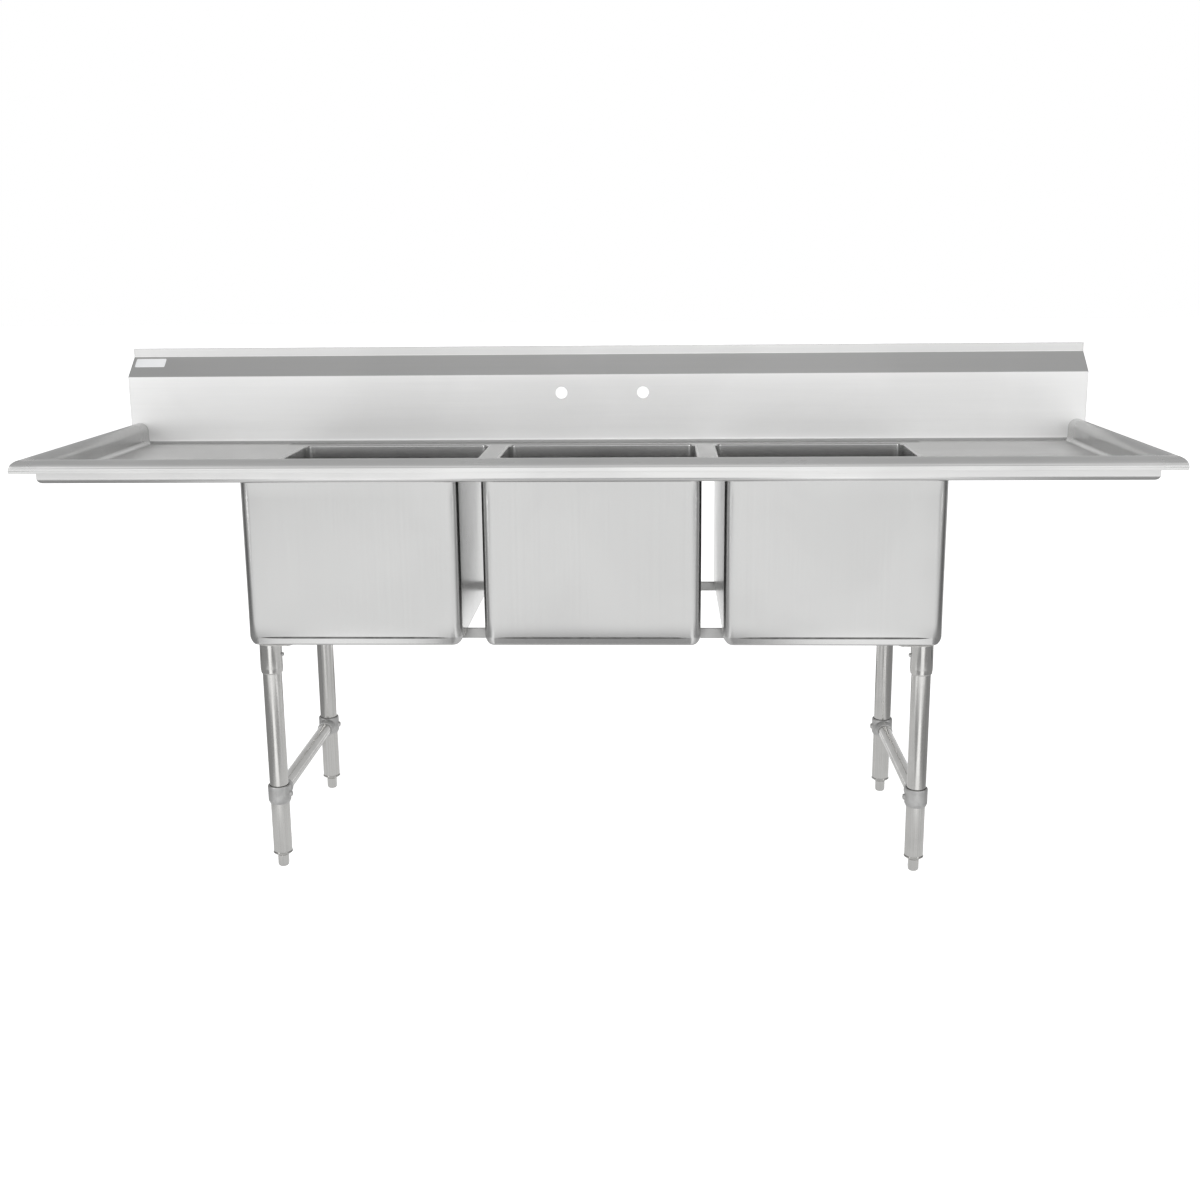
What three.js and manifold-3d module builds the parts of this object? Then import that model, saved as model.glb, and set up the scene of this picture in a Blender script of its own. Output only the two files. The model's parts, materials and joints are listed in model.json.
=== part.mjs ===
// A commercial three compartment sink in stainless steel: a one-piece deck with a rolled rim,
// two drainboards and a boxed backsplash, three welded bowls with basket strainers, and four
// tubular legs with levelling feet, tied in pairs by a side rail.
//
// Millimetres, +Z up. The origin is on the floor, under the middle of the sink. +X runs along
// the sink to the user's right, and -Y is the side the user stands on.

import * as THREE from "three";
import { mergeVertices } from "three/addons/utils/BufferGeometryUtils.js";
import Module from "manifold-3d";

const wasm = await Module();
wasm.setup();

// ---- driving dimensions ----------------------------------------------------------------------

const INCH = 25.4;
const LENGTH = 94 * INCH; // over the rolled rims
const DEPTH = 31 * INCH; // front of the rim to the wall
const HEIGHT = 44 * INCH; // floor to the top of the backsplash
const SHEET = 1.5; // 16 gauge sheet
const GAP = 0.3; // between pieces that touch

const BOWL_WIDTH = 18 * INCH; // inside
const BOWL_LENGTH = 24 * INCH; // inside, front to back
const BOWL_DEPTH = 14 * INCH;
const DIVIDER = 2 * INCH; // deck left between two bowls
const BOWL_PITCH = BOWL_WIDTH + DIVIDER;
const BOWL_CORNER = 22; // inside radius of the upright corners
const BOWL_COVE = 19; // inside radius along the floor
const BOWL_FALL = 4; // the floor's fall to the drain
const FLOOR_MARGIN = 75; // level strip along the floor's edge
const CORNER_STEPS = 5;
const COVE_STEPS = 4;
const PANEL_DEPTH = 34; // how far a dished end panel reaches before its seam

const DECK_Z = 883; // top of the deck
const ROLL_RADIUS = 21; // outside radius of the rolled rim
const RIM_Z = 935; // top of the rolled rim
const RIM_COVE = 10; // rim wall into deck
const FRONT_LEDGE = 66; // rim's front to the bowls' outer face
const SPLASH_SETBACK = 728; // rim's front to the backsplash's face

const SPLASH_BREAK_Z = 1050; // where the face turns into the slope
const SPLASH_LIP_Z = 1096; // where the slope turns into the lip
const SPLASH_COVE = 10;
const HEM = 3.2; // thickness of the folded lip
const HEM_DROP = 14;
const FAUCET_CENTRES = 8 * INCH;
const FAUCET_HOLE = 28.6;
const FAUCET_Z = 1005;

const DRAIN_HOLE = 90;
const DRAIN_SEAT = 60; // radius of the flat seat round the drain

const LEG_X = 705;
const LEG_INSET = 56; // leg axis to the bowls' outer front and back faces
const LEG_DIAMETER = 1.625 * INCH;
const LEG_WALL = 1.6;
const LEG_BOTTOM_Z = 38;
const SOCKET_DIAMETER = 1.9 * INCH;
const SOCKET_BOTTOM_Z = 452;
const SOCKET_SCREW_Z = 494;
const PAD_THICKNESS = 3;

const CLAMP_DIAMETER = 50;
const CLAMP_BOTTOM_Z = 152;
const CLAMP_TOP_Z = 194;
const RAIL_Z = 172;
const RAIL_DIAMETER = 1.25 * INCH;
const RAIL_SOCKET_DIAMETER = 39;
const RAIL_SOCKET_REACH = 48; // leg axis to the socket's mouth

const FOOT_FLATS = 22;
const FOOT_SHOULDER_Z = 27;
const FOOT_STEM = 16;
const FOOT_STEM_TOP_Z = 70;

const TIE_BAR_HEIGHT = 22;
const TIE_BAR_THICKNESS = 6;
const TIE_BAR_LIFT = 1.2; // above the underside of the bowls
const TIE_BAR_FRONT = 73; // from the bowls' front face to the bar's middle
const TIE_BAR_BACK = 71; // from the bowls' back face to the bar's middle

const ROUND = 16; // facets on a small round piece
const DRAIN_FACETS = 18;

// ---- derived places --------------------------------------------------------------------------

const halfLength = LENGTH / 2;
const frontY = -DEPTH / 2;
const wallY = DEPTH / 2;
const splashY = frontY + SPLASH_SETBACK;
const lipY = wallY - HEM;
const bowlFrontY = frontY + FRONT_LEDGE; // outer face
const bowlCentreY = bowlFrontY + SHEET + BOWL_LENGTH / 2;
const bowlBackY = bowlCentreY + BOWL_LENGTH / 2 + SHEET;
const bowlXs = { left: -BOWL_PITCH, centre: 0, right: BOWL_PITCH };
const floorZ = DECK_Z - BOWL_DEPTH; // the bowl floor's inside, at its edge
const drainZ = floorZ - BOWL_FALL; // and at the drain's seat
const rollCentreZ = RIM_Z - ROLL_RADIUS;
const rimEdge = 2 * ROLL_RADIUS + RIM_COVE; // from the rim's outside to where the deck begins
const legYs = { front: bowlFrontY + LEG_INSET, back: bowlBackY - LEG_INSET };
const legXs = { left: -LEG_X, right: LEG_X };

// ---- materials -------------------------------------------------------------------------------

const finish = (color, roughness, metalness) =>
  new THREE.MeshStandardMaterial({ color, roughness, metalness });
const satinSteel = finish(0xcfd0cf, 0.35, 1);
const bowlSteel = finish(0xd4d4d2, 0.4, 1);
const tubeSteel = finish(0xb9b8b4, 0.3, 1);
const castMetal = finish(0xa9aaa8, 0.6, 1);
const brightSteel = finish(0xd8d8d6, 0.15, 1);
const blackRubber = finish(0x1b1b1b, 0.8, 0);

// ---- helpers ---------------------------------------------------------------------------------

// A closed three.js geometry as a manifold-3d solid.
function solid(geometry) {
  const bare = geometry.clone();
  bare.deleteAttribute("normal");
  bare.deleteAttribute("uv");
  const merged = mergeVertices(bare, 1e-4);
  const mesh = new wasm.Mesh({
    numProp: 3,
    vertProperties: new Float32Array(merged.attributes.position.array),
    triVerts: new Uint32Array(merged.index.array),
  });
  return new wasm.Manifold(mesh);
}

// A manifold-3d solid as a three.js geometry.
function geometryOf(made) {
  const { vertProperties, triVerts } = made.getMesh();
  const geometry = new THREE.BufferGeometry();
  geometry.setAttribute("position", new THREE.BufferAttribute(vertProperties, 3));
  geometry.setIndex(new THREE.BufferAttribute(triVerts, 1));
  geometry.computeVertexNormals();
  return geometry;
}

const join = (first, ...rest) =>
  geometryOf(rest.reduce((sum, piece) => sum.add(solid(piece)), solid(first)));
const cut = (first, ...tools) =>
  geometryOf(tools.reduce((left, tool) => left.subtract(solid(tool)), solid(first)));
const overlap = (first, second) => geometryOf(solid(first).intersect(solid(second)));

// A box between two corners.
function box([x0, y0, z0], [x1, y1, z1]) {
  const geometry = new THREE.BoxGeometry(x1 - x0, y1 - y0, z1 - z0);
  return geometry.translate((x0 + x1) / 2, (y0 + y1) / 2, (z0 + z1) / 2);
}

// A round bar between two points.
function bar(from, to, radius, facets = ROUND) {
  const start = new THREE.Vector3(...from);
  const end = new THREE.Vector3(...to);
  const run = end.clone().sub(start);
  const geometry = new THREE.CylinderGeometry(radius, radius, run.length(), facets);
  const turn = new THREE.Quaternion().setFromUnitVectors(
    new THREE.Vector3(0, 1, 0),
    run.clone().normalize(),
  );
  return geometry.applyQuaternion(turn).translate(...start.add(end).multiplyScalar(0.5));
}

// A profile of [radius, z] points turned about the Z axis.
function turned(profile, facets = ROUND) {
  const spin = (points) =>
    new THREE.LatheGeometry(points.map(([r, z]) => new THREE.Vector2(r, z)), facets)
      .rotateX(Math.PI / 2);
  const made = spin(profile);
  return solid(made).volume() > 0 ? made : spin([...profile].reverse());
}

// A profile that closes on itself, turned about the Z axis.
const turnedRing = (profile, facets) => turned([...profile, profile[0]], facets);

// A tube along Z.
const tube = (outer, inner, z0, z1) =>
  turnedRing([[outer, z0], [outer, z1], [inner, z1], [inner, z0]]);

// A flat outline, with holes, raised along Z from z0 to z1.
function raised(shape, z0, z1) {
  const made = new THREE.ExtrudeGeometry(shape, { depth: z1 - z0, bevelEnabled: false });
  return made.translate(0, 0, z0);
}

// A [y, z] outline run along X from x0 to x1.
function runAlongX(outline, x0, x1) {
  const shape = new THREE.Shape(outline.map(([y, z]) => new THREE.Vector2(y, z)));
  const made = new THREE.ExtrudeGeometry(shape, { depth: x1 - x0, bevelEnabled: false });
  const toRow = new THREE.Matrix4().set(0, 0, 1, x0, 1, 0, 0, 0, 0, 1, 0, 0, 0, 0, 0, 1);
  return made.applyMatrix4(toRow);
}

// Points along an arc, both ends included, as [across, up] pairs.
function arc(across, up, radius, fromDeg, toDeg, steps) {
  return Array.from({ length: steps + 1 }, (_, i) => {
    const a = THREE.MathUtils.degToRad(fromDeg + ((toDeg - fromDeg) * i) / steps);
    return [across + radius * Math.cos(a), up + radius * Math.sin(a)];
  });
}

// The path moved sideways by a distance, with mitred corners.
function offsetPath(path, distance) {
  const direction = (a, b) => new THREE.Vector2(b[0] - a[0], b[1] - a[1]).normalize();
  return path.map((point, i) => {
    const before = direction(path[Math.max(i - 1, 0)], path[Math.max(i, 1)]);
    const after = direction(path[Math.min(i, path.length - 2)], path[Math.min(i + 1, path.length - 1)]);
    const normal = new THREE.Vector2(before.y + after.y, -before.x - after.x).normalize();
    const reach = distance / normal.dot(new THREE.Vector2(before.y, -before.x));
    return [point[0] + normal.x * reach, point[1] + normal.y * reach];
  });
}

// A skin through rings of equally many points. It closes on its first ring, or ends in two caps
// cut from the given flat outline.
function loft(rings, capOutline) {
  const count = rings[0].length;
  const index = [];
  const bands = capOutline ? rings.length - 1 : rings.length;
  for (let r = 0; r < bands; r++) {
    const next = (r + 1) % rings.length;
    for (let i = 0; i < count; i++) {
      const j = (i + 1) % count;
      const [a, b, c, d] = [r * count + i, r * count + j, next * count + j, next * count + i];
      index.push(a, b, c, a, c, d);
    }
  }
  if (capOutline) {
    const flat = capOutline.map(([u, v]) => new THREE.Vector2(u, v));
    const last = (rings.length - 1) * count;
    for (const [a, b, c] of THREE.ShapeUtils.triangulateShape(flat, [])) {
      index.push(a, c, b, last + a, last + b, last + c);
    }
  }
  const geometry = new THREE.BufferGeometry();
  geometry.setAttribute("position", new THREE.Float32BufferAttribute(rings.flat(2), 3));
  geometry.setIndex(index);
  if (solid(geometry).volume() < 0) {
    index.reverse();
    geometry.setIndex(index);
  }
  geometry.computeVertexNormals();
  return geometry;
}

const sink = new THREE.Group();

function add(name, geometry, material, place = [0, 0, 0], parent = sink) {
  const mesh = new THREE.Mesh(geometry, material);
  mesh.name = name;
  mesh.position.set(...place);
  parent.add(mesh);
  return mesh;
}

// ---- deck: rolled rim, drainboards and the ledges round the bowls ----------------------------

// The rim's section, as [distance in from the outside, z]: the roll's outer skin from the deck
// up and over to its tip, then back along the inner skin.
function rimSection() {
  const wall = 2 * ROLL_RADIUS; // the rim wall's inner face
  const outerSkin = [
    ...arc(wall + RIM_COVE, DECK_Z + RIM_COVE, RIM_COVE, 270, 180, 4),
    ...arc(ROLL_RADIUS, rollCentreZ, ROLL_RADIUS, 0, 180, 12),
  ];
  const innerSkin = [
    ...arc(ROLL_RADIUS, rollCentreZ, ROLL_RADIUS - SHEET, 180, 0, 12),
    ...arc(wall + RIM_COVE, DECK_Z + RIM_COVE, RIM_COVE + SHEET, 180, 270, 4),
  ];
  return [...outerSkin, ...innerSkin];
}

function rolledRim() {
  const section = rimSection();
  const backEnd = splashY - GAP;
  const stations = [
    (inward) => [-halfLength + inward, backEnd],
    (inward) => [-halfLength + inward, frontY + inward],
    (inward) => [halfLength - inward, frontY + inward],
    (inward) => [halfLength - inward, backEnd],
  ];
  const rings = stations.map((place) => section.map(([inward, z]) => [...place(inward), z]));
  return loft(rings, section);
}

const deckFrontY = frontY + rimEdge + GAP;
const deckBackY = splashY - SPLASH_COVE - GAP;
const bowlDeckHalf = BOWL_PITCH + BOWL_WIDTH / 2 + 15; // where the drainboards begin

// A rectangle with round corners, as a closed list of [x, y] points that starts at +X, +Y.
function roundedRectangle(halfX, halfY, radius, stepsPerCorner) {
  const corners = [[1, 1], [-1, 1], [-1, -1], [1, -1]];
  return corners.flatMap(([sx, sy], i) =>
    arc(sx * (halfX - radius), sy * (halfY - radius), radius, 90 * i, 90 * i + 90, stepsPerCorner),
  );
}

function bowlDeck() {
  const outline = [[-1, deckFrontY], [1, deckFrontY], [1, deckBackY], [-1, deckBackY]];
  const shape = new THREE.Shape(
    outline.map(([side, y]) => new THREE.Vector2(side * (bowlDeckHalf - GAP / 2), y)),
  );
  const mouth = roundedRectangle(BOWL_WIDTH / 2, BOWL_LENGTH / 2, BOWL_CORNER, CORNER_STEPS);
  for (const x of Object.values(bowlXs)) {
    shape.holes.push(
      new THREE.Path(mouth.map(([dx, dy]) => new THREE.Vector2(x + dx, bowlCentreY + dy))),
    );
  }
  return raised(shape, DECK_Z - SHEET, DECK_Z);
}

function drainboard(side) {
  const inner = side * (bowlDeckHalf + GAP / 2);
  const outer = side * (halfLength - rimEdge - GAP);
  const [x0, x1] = side < 0 ? [outer, inner] : [inner, outer];
  return box([x0, deckFrontY, DECK_Z - SHEET], [x1, deckBackY, DECK_Z]);
}

add("rolled_rim", rolledRim(), satinSteel);
add("bowl_deck", bowlDeck(), satinSteel);
add("left_drainboard", drainboard(-1), satinSteel);
add("right_drainboard", drainboard(1), satinSteel);

// ---- backsplash ------------------------------------------------------------------------------

function backsplash() {
  const face = [
    ...arc(splashY - SPLASH_COVE, DECK_Z + SPLASH_COVE, SPLASH_COVE, 270, 360, 5),
    [splashY, SPLASH_BREAK_Z],
    [lipY, SPLASH_LIP_Z],
    [lipY, HEIGHT],
  ];
  const back = offsetPath(face, SHEET).reverse();
  const hem = [[wallY, HEIGHT], [wallY, HEIGHT - HEM_DROP], [lipY + SHEET, HEIGHT - HEM_DROP]];
  const sheetEnd = halfLength - SHEET - GAP;
  const outline = [...face, ...hem, ...back.slice(1)];
  const coveEnd = halfLength - rimEdge - GAP;
  const belowCove = [DECK_Z - 10, DECK_Z + SPLASH_COVE];
  const notches = [-1, 1].map((side) => {
    const [x0, x1] = side < 0 ? [-halfLength, -coveEnd] : [coveEnd, halfLength];
    return box([x0, splashY - 20, belowCove[0]], [x1, splashY + 5, belowCove[1]]);
  });
  const holes = [-1, 1].map((side) => {
    const x = (side * FAUCET_CENTRES) / 2;
    return bar([x, splashY - 10, FAUCET_Z], [x, splashY + 10, FAUCET_Z], FAUCET_HOLE / 2, ROUND);
  });
  return cut(runAlongX(outline, -sheetEnd, sheetEnd), ...notches, ...holes);
}

function splashEndCap(side) {
  const outline = [
    [splashY, DECK_Z - SHEET],
    [wallY, DECK_Z - SHEET],
    [wallY, HEIGHT],
    [lipY, HEIGHT],
    [lipY, SPLASH_LIP_Z],
    [splashY, SPLASH_BREAK_Z],
  ];
  const outer = side * halfLength;
  const inner = side * (halfLength - SHEET);
  return runAlongX(outline, Math.min(inner, outer), Math.max(inner, outer));
}

add("backsplash", backsplash(), satinSteel);
add("backsplash_left_end", splashEndCap(-1), satinSteel);
add("backsplash_right_end", splashEndCap(1), satinSteel);

// ---- bowls: a wrap for the sides and floor, and two dished end panels ------------------------

// A bowl round its own centre line, as one skin: down the outside to the drain hole, and back up
// the inside.
function bowlShell() {
  const ring = (halfX, halfY, radius, z) =>
    roundedRectangle(halfX, halfY, radius, CORNER_STEPS).map(([x, y]) => [x, y, z]);
  const circle = (radius, z) => {
    const count = 4 * (CORNER_STEPS + 1);
    return Array.from({ length: count }, (_, i) => {
      const a = ((i + 0.5) * 2 * Math.PI) / count;
      return [radius * Math.cos(a), radius * Math.sin(a), z];
    });
  };
  // One skin, from the mouth down, set outwards from the inside faces by `out`.
  const skin = (out) => {
    const halfX = BOWL_WIDTH / 2 + out;
    const halfY = BOWL_LENGTH / 2 + out;
    const cove = BOWL_COVE + out;
    const rings = [ring(halfX, halfY, BOWL_CORNER + out, DECK_Z - SHEET - GAP)];
    for (let i = 0; i <= COVE_STEPS; i++) {
      const a = (i * Math.PI) / 2 / COVE_STEPS;
      const inset = cove * (1 - Math.cos(a));
      const z = floorZ + BOWL_COVE - cove * Math.sin(a);
      rings.push(ring(halfX - inset, halfY - inset, BOWL_CORNER + out - inset, z));
    }
    const level = BOWL_COVE + FLOOR_MARGIN;
    rings.push(
      ring(BOWL_WIDTH / 2 - level, BOWL_LENGTH / 2 - level, 3, floorZ - out),
      circle(DRAIN_SEAT, drainZ - out),
      circle(DRAIN_HOLE / 2, drainZ - out),
    );
    return rings;
  };
  return loft([...skin(SHEET), ...skin(0).reverse()]);
}

const shell = bowlShell();
const seamY = BOWL_LENGTH / 2 + SHEET - PANEL_DEPTH;
const reach = BOWL_LENGTH; // past the bowl in every direction
const bowlSlices = {
  front_panel: [-reach, -seamY - GAP / 2],
  wrap: [-seamY + GAP / 2, seamY - GAP / 2],
  back_panel: [seamY + GAP / 2, reach],
};
for (const [which, x] of Object.entries(bowlXs)) {
  for (const [part, [y0, y1]] of Object.entries(bowlSlices)) {
    const slice = overlap(shell, box([-reach, y0, 0], [reach, y1, HEIGHT]));
    add(`bowl_${which}_${part}`, slice, bowlSteel, [x, bowlCentreY, 0]);
  }
}

// ---- tie bars between the bowls --------------------------------------------------------------

// A flat bar that joins two bowls at their floors, with its ends cut to the bowls' coves.
function tieBar(gapCentreX, y) {
  const wall = DIVIDER / 2 - SHEET;
  const cove = BOWL_COVE + SHEET;
  const coveZ = floorZ + BOWL_COVE;
  const bottom = coveZ - cove + TIE_BAR_LIFT;
  const lowestDeg = THREE.MathUtils.radToDeg(Math.asin((coveZ - bottom) / (cove + GAP)));
  const rightEnd = arc(wall + cove, coveZ, cove + GAP, 180 + lowestDeg, 180, 6);
  const rightSide = [...rightEnd, [wall - GAP, bottom + TIE_BAR_HEIGHT]];
  const leftSide = rightSide.map(([x, z]) => [-x, z]).reverse();
  const shape = new THREE.Shape([...rightSide, ...leftSide].map(([x, z]) => new THREE.Vector2(x, z)));
  const half = TIE_BAR_THICKNESS / 2;
  return raised(shape, -half, half).rotateX(Math.PI / 2).translate(gapCentreX, y, 0);
}

const tieBarYs = { front: bowlFrontY + TIE_BAR_FRONT, back: bowlBackY - TIE_BAR_BACK };
for (const [place, y] of Object.entries(tieBarYs)) {
  for (const [side, sign] of [["left", -1], ["right", 1]]) {
    add(`tie_bar_${place}_${side}`, tieBar((sign * BOWL_PITCH) / 2, y), tubeSteel);
  }
}

// ---- drains: strainer body, gasket, locknut and lift-out basket ------------------------------

const FLANGE_RADIUS = 56;
const CUP_RADIUS = 44; // outside
const CUP_INNER = 38.5;
const BASKET_SEAT_INNER = 41.5;
const OUTLET_RADIUS = 20; // inside the tailpiece
const TAIL_RADIUS = 24;
const flangeTopZ = drainZ + 2.5;
const basketSeatZ = drainZ - 4;
const cupBottomZ = drainZ - 44;
const tailBottomZ = drainZ - 58;
const gasketTopZ = drainZ - SHEET - GAP;
const GASKET = 3;
const NUT_HEIGHT = 10;

function strainerBody() {
  return turnedRing([
    [FLANGE_RADIUS, drainZ + GAP],
    [FLANGE_RADIUS, drainZ + 1],
    [FLANGE_RADIUS - 3, flangeTopZ],
    [BASKET_SEAT_INNER + 4, flangeTopZ],
    [BASKET_SEAT_INNER, drainZ],
    [BASKET_SEAT_INNER, basketSeatZ],
    [CUP_INNER, basketSeatZ],
    [CUP_INNER - 1, cupBottomZ + 10],
    [CUP_INNER - 8, cupBottomZ + 2],
    [OUTLET_RADIUS, cupBottomZ],
    [OUTLET_RADIUS, tailBottomZ],
    [TAIL_RADIUS, tailBottomZ],
    [TAIL_RADIUS, cupBottomZ - 4],
    [CUP_RADIUS - 10, cupBottomZ - 2],
    [CUP_RADIUS, cupBottomZ + 8],
    [CUP_RADIUS, drainZ + GAP],
  ], DRAIN_FACETS);
}

function drainGasket() {
  const bottom = gasketTopZ - GASKET;
  return turnedRing(
    [[CUP_RADIUS + 8, bottom], [CUP_RADIUS + 8, gasketTopZ], [CUP_RADIUS + 0.5, gasketTopZ], [CUP_RADIUS + 0.5, bottom]],
    DRAIN_FACETS,
  );
}

// A ring nut with four lugs for a spud wrench.
function drainLocknut() {
  const top = gasketTopZ - GASKET - GAP;
  const bottom = top - NUT_HEIGHT;
  const inner = CUP_RADIUS + 0.5;
  const outer = CUP_RADIUS + 7;
  const ring = turnedRing([[outer, bottom], [outer, top], [inner, top], [inner, bottom]], DRAIN_FACETS);
  const lugs = [[1, 0], [0, 1]].map(([ax, ay]) => {
    const [hx, hy] = [ax ? outer + 4 : 5, ay ? outer + 4 : 5];
    return box([-hx, -hy, bottom], [hx, hy, top - 2]);
  });
  const middle = bar([0, 0, bottom - 5], [0, 0, top + 5], inner + 3, DRAIN_FACETS);
  const bore = bar([0, 0, bottom - 5], [0, 0, top + 5], inner, DRAIN_FACETS);
  return cut(join(ring, ...lugs.map((lug) => cut(lug, middle))), bore);
}

// The basket's wall and floor with a lift post and knob.
function strainerBasket() {
  const seat = basketSeatZ + GAP;
  const floor = cupBottomZ + 14;
  const rim = BASKET_SEAT_INNER - 0.7;
  const wall = CUP_INNER - 2.5;
  return turned([
    [0, floor],
    [wall - 5, floor],
    [wall, floor + 5],
    [wall, seat],
    [rim, seat],
    [rim, seat + 1.5],
    [wall - 1.2, seat + 1.5],
    [wall - 1.2, floor + 5.6],
    [wall - 5.4, floor + 1.2],
    [3.5, floor + 1.2],
    [3.5, drainZ - 1],
    [8, drainZ + 1],
    [9, drainZ + 4],
    [7, drainZ + 7],
    [0, drainZ + 8],
  ], DRAIN_FACETS);
}

for (const [which, x] of Object.entries(bowlXs)) {
  const place = [x, bowlCentreY, 0];
  add(`strainer_body_${which}`, strainerBody(), brightSteel, place);
  add(`drain_gasket_${which}`, drainGasket(), blackRubber, place);
  add(`drain_locknut_${which}`, drainLocknut(), castMetal, place);
  add(`strainer_basket_${which}`, strainerBasket(), brightSteel, place);
}

// ---- legs ------------------------------------------------------------------------------------
// Each leg is drawn round its own axis, with the sink's middle towards -X, and the other leg of
// its pair towards +Y. A leg on the left or at the back is mirrored by the signs it is given.

const legRadius = LEG_DIAMETER / 2;
const socketInner = legRadius + GAP;
const padTopZ = floorZ - SHEET - GAP;

// The welded socket that takes the leg: a pad under the bowl and a cup with a drawn-in mouth.
function legSocket(outward) {
  const outer = SOCKET_DIAMETER / 2;
  const top = padTopZ - PAD_THICKNESS / 2;
  const cup = turned([
    [0, top],
    [outer, top],
    [outer, SOCKET_BOTTOM_Z + 9],
    [outer - 0.8, SOCKET_BOTTOM_Z + 4],
    [outer - 2, SOCKET_BOTTOM_Z],
    [socketInner, SOCKET_BOTTOM_Z],
    [socketInner, top - 6],
    [0, top - 6],
  ]);
  const pad = new THREE.Shape(
    roundedRectangle(36, 40, 12, 4).map(
      ([x, y]) => new THREE.Vector2(x - outward * 20, y),
    ),
  );
  const screwHole = bar([0, 0, SOCKET_SCREW_Z], [-outward * 40, 0, SOCKET_SCREW_Z], 4.4, 12);
  const plate = raised(pad, padTopZ - PAD_THICKNESS, padTopZ);
  return cut(join(cup, plate), screwHole);
}

// The set screw that locks the leg in its socket, from the inner side.
function socketScrew(outward) {
  const inner = legRadius + GAP;
  const outer = SOCKET_DIAMETER / 2 + 3.5;
  const shank = bar([-outward * inner, 0, SOCKET_SCREW_Z], [-outward * outer, 0, SOCKET_SCREW_Z], 4, 12);
  const key = bar([-outward * (outer - 2), 0, SOCKET_SCREW_Z], [-outward * (outer + 2), 0, SOCKET_SCREW_Z], 2, 6);
  return cut(shank, key);
}

const legTube = () =>
  tube(legRadius, legRadius - LEG_WALL, LEG_BOTTOM_Z + GAP, padTopZ - PAD_THICKNESS / 2 - 6 - GAP);

// The cast tee on the leg: a collar, a socket for the side rail and a boss for its screw.
function railClamp(outward, along) {
  const outer = CLAMP_DIAMETER / 2;
  const collar = turned([
    [0, CLAMP_BOTTOM_Z],
    [outer - 3, CLAMP_BOTTOM_Z],
    [outer, CLAMP_BOTTOM_Z + 7],
    [outer, CLAMP_TOP_Z - 1.5],
    [outer - 1.5, CLAMP_TOP_Z],
    [0, CLAMP_TOP_Z],
  ]);
  const socket = bar([0, 0, RAIL_Z], [0, along * RAIL_SOCKET_REACH, RAIL_Z], RAIL_SOCKET_DIAMETER / 2);
  const boss = bar([0, 0, RAIL_Z], [-outward * (outer + 4), 0, RAIL_Z], 6.5, 12);
  const legBore = bar([0, 0, CLAMP_BOTTOM_Z - 5], [0, 0, CLAMP_TOP_Z + 5], legRadius + GAP);
  const railBore = bar(
    [0, 0, RAIL_Z],
    [0, along * (RAIL_SOCKET_REACH + 5), RAIL_Z],
    RAIL_DIAMETER / 2 + GAP,
  );
  return cut(join(collar, socket, boss), legBore, railBore);
}

// The plug pressed into the leg's foot, with a flared collar below the tube and a threaded bore.
function footInsert() {
  const bore = FOOT_STEM / 2 + 0.4;
  const plug = legRadius - LEG_WALL - GAP;
  return turnedRing([
    [13, FOOT_SHOULDER_Z + GAP],
    [legRadius - 2, LEG_BOTTOM_Z - 6],
    [legRadius + 0.6, LEG_BOTTOM_Z - 4],
    [legRadius + 0.6, LEG_BOTTOM_Z],
    [plug, LEG_BOTTOM_Z],
    [plug, LEG_BOTTOM_Z + 20],
    [bore, LEG_BOTTOM_Z + 20],
    [bore, FOOT_SHOULDER_Z + GAP],
  ]);
}

// The levelling foot: a hexagon with a rounded end, on a threaded stem.
function levellingFoot() {
  const across = FOOT_FLATS / Math.sqrt(3); // hexagon corner radius
  const hexagon = bar([0, 0, 0], [0, 0, FOOT_SHOULDER_Z], across, 6);
  const rounded = turned([
    [0, 0],
    [7, 0],
    [10.5, 1.5],
    [12.2, 4.5],
    [across + 0.5, 8],
    [across + 0.5, FOOT_SHOULDER_Z - 1.5],
    [across - 1.2, FOOT_SHOULDER_Z],
    [0, FOOT_SHOULDER_Z],
  ], 12);
  const stem = bar([0, 0, FOOT_SHOULDER_Z - 5], [0, 0, FOOT_STEM_TOP_Z], FOOT_STEM / 2, 12);
  return join(overlap(hexagon, rounded), stem);
}

for (const [side, x] of Object.entries(legXs)) {
  const outward = Math.sign(x);
  for (const [end, y] of Object.entries(legYs)) {
    const along = end === "front" ? 1 : -1;
    const leg = new THREE.Group();
    leg.position.set(x, y, 0);
    sink.add(leg);
    const where = `${end}_${side}`;
    add(`leg_socket_${where}`, legSocket(outward), tubeSteel, [0, 0, 0], leg);
    add(`socket_screw_${where}`, socketScrew(outward), castMetal, [0, 0, 0], leg);
    add(`leg_tube_${where}`, legTube(), tubeSteel, [0, 0, 0], leg);
    add(`rail_clamp_${where}`, railClamp(outward, along), castMetal, [0, 0, 0], leg);
    add(`foot_insert_${where}`, footInsert(), tubeSteel, [0, 0, 0], leg);
    add(`foot_${where}`, levellingFoot(), tubeSteel, [0, 0, 0], leg);
  }
}

// ---- side rails, front leg to back leg -------------------------------------------------------

function sideRail(x) {
  const start = legYs.front + legRadius + 2;
  const end = legYs.back - legRadius - 2;
  const outer = bar([x, start, RAIL_Z], [x, end, RAIL_Z], RAIL_DIAMETER / 2);
  const bore = bar([x, start - 5, RAIL_Z], [x, end + 5, RAIL_Z], RAIL_DIAMETER / 2 - LEG_WALL);
  return cut(outer, bore);
}

for (const [side, x] of Object.entries(legXs)) {
  add(`side_rail_${side}`, sideRail(x), tubeSteel);
}

export default sink;
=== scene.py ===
import json
import logging
import math
from dataclasses import dataclass, field
from enum import Enum
from typing import Any, Iterable, Sequence

import bmesh
import bpy
from mathutils import Matrix, Vector
from mathutils.geometry import tessellate_polygon


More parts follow.
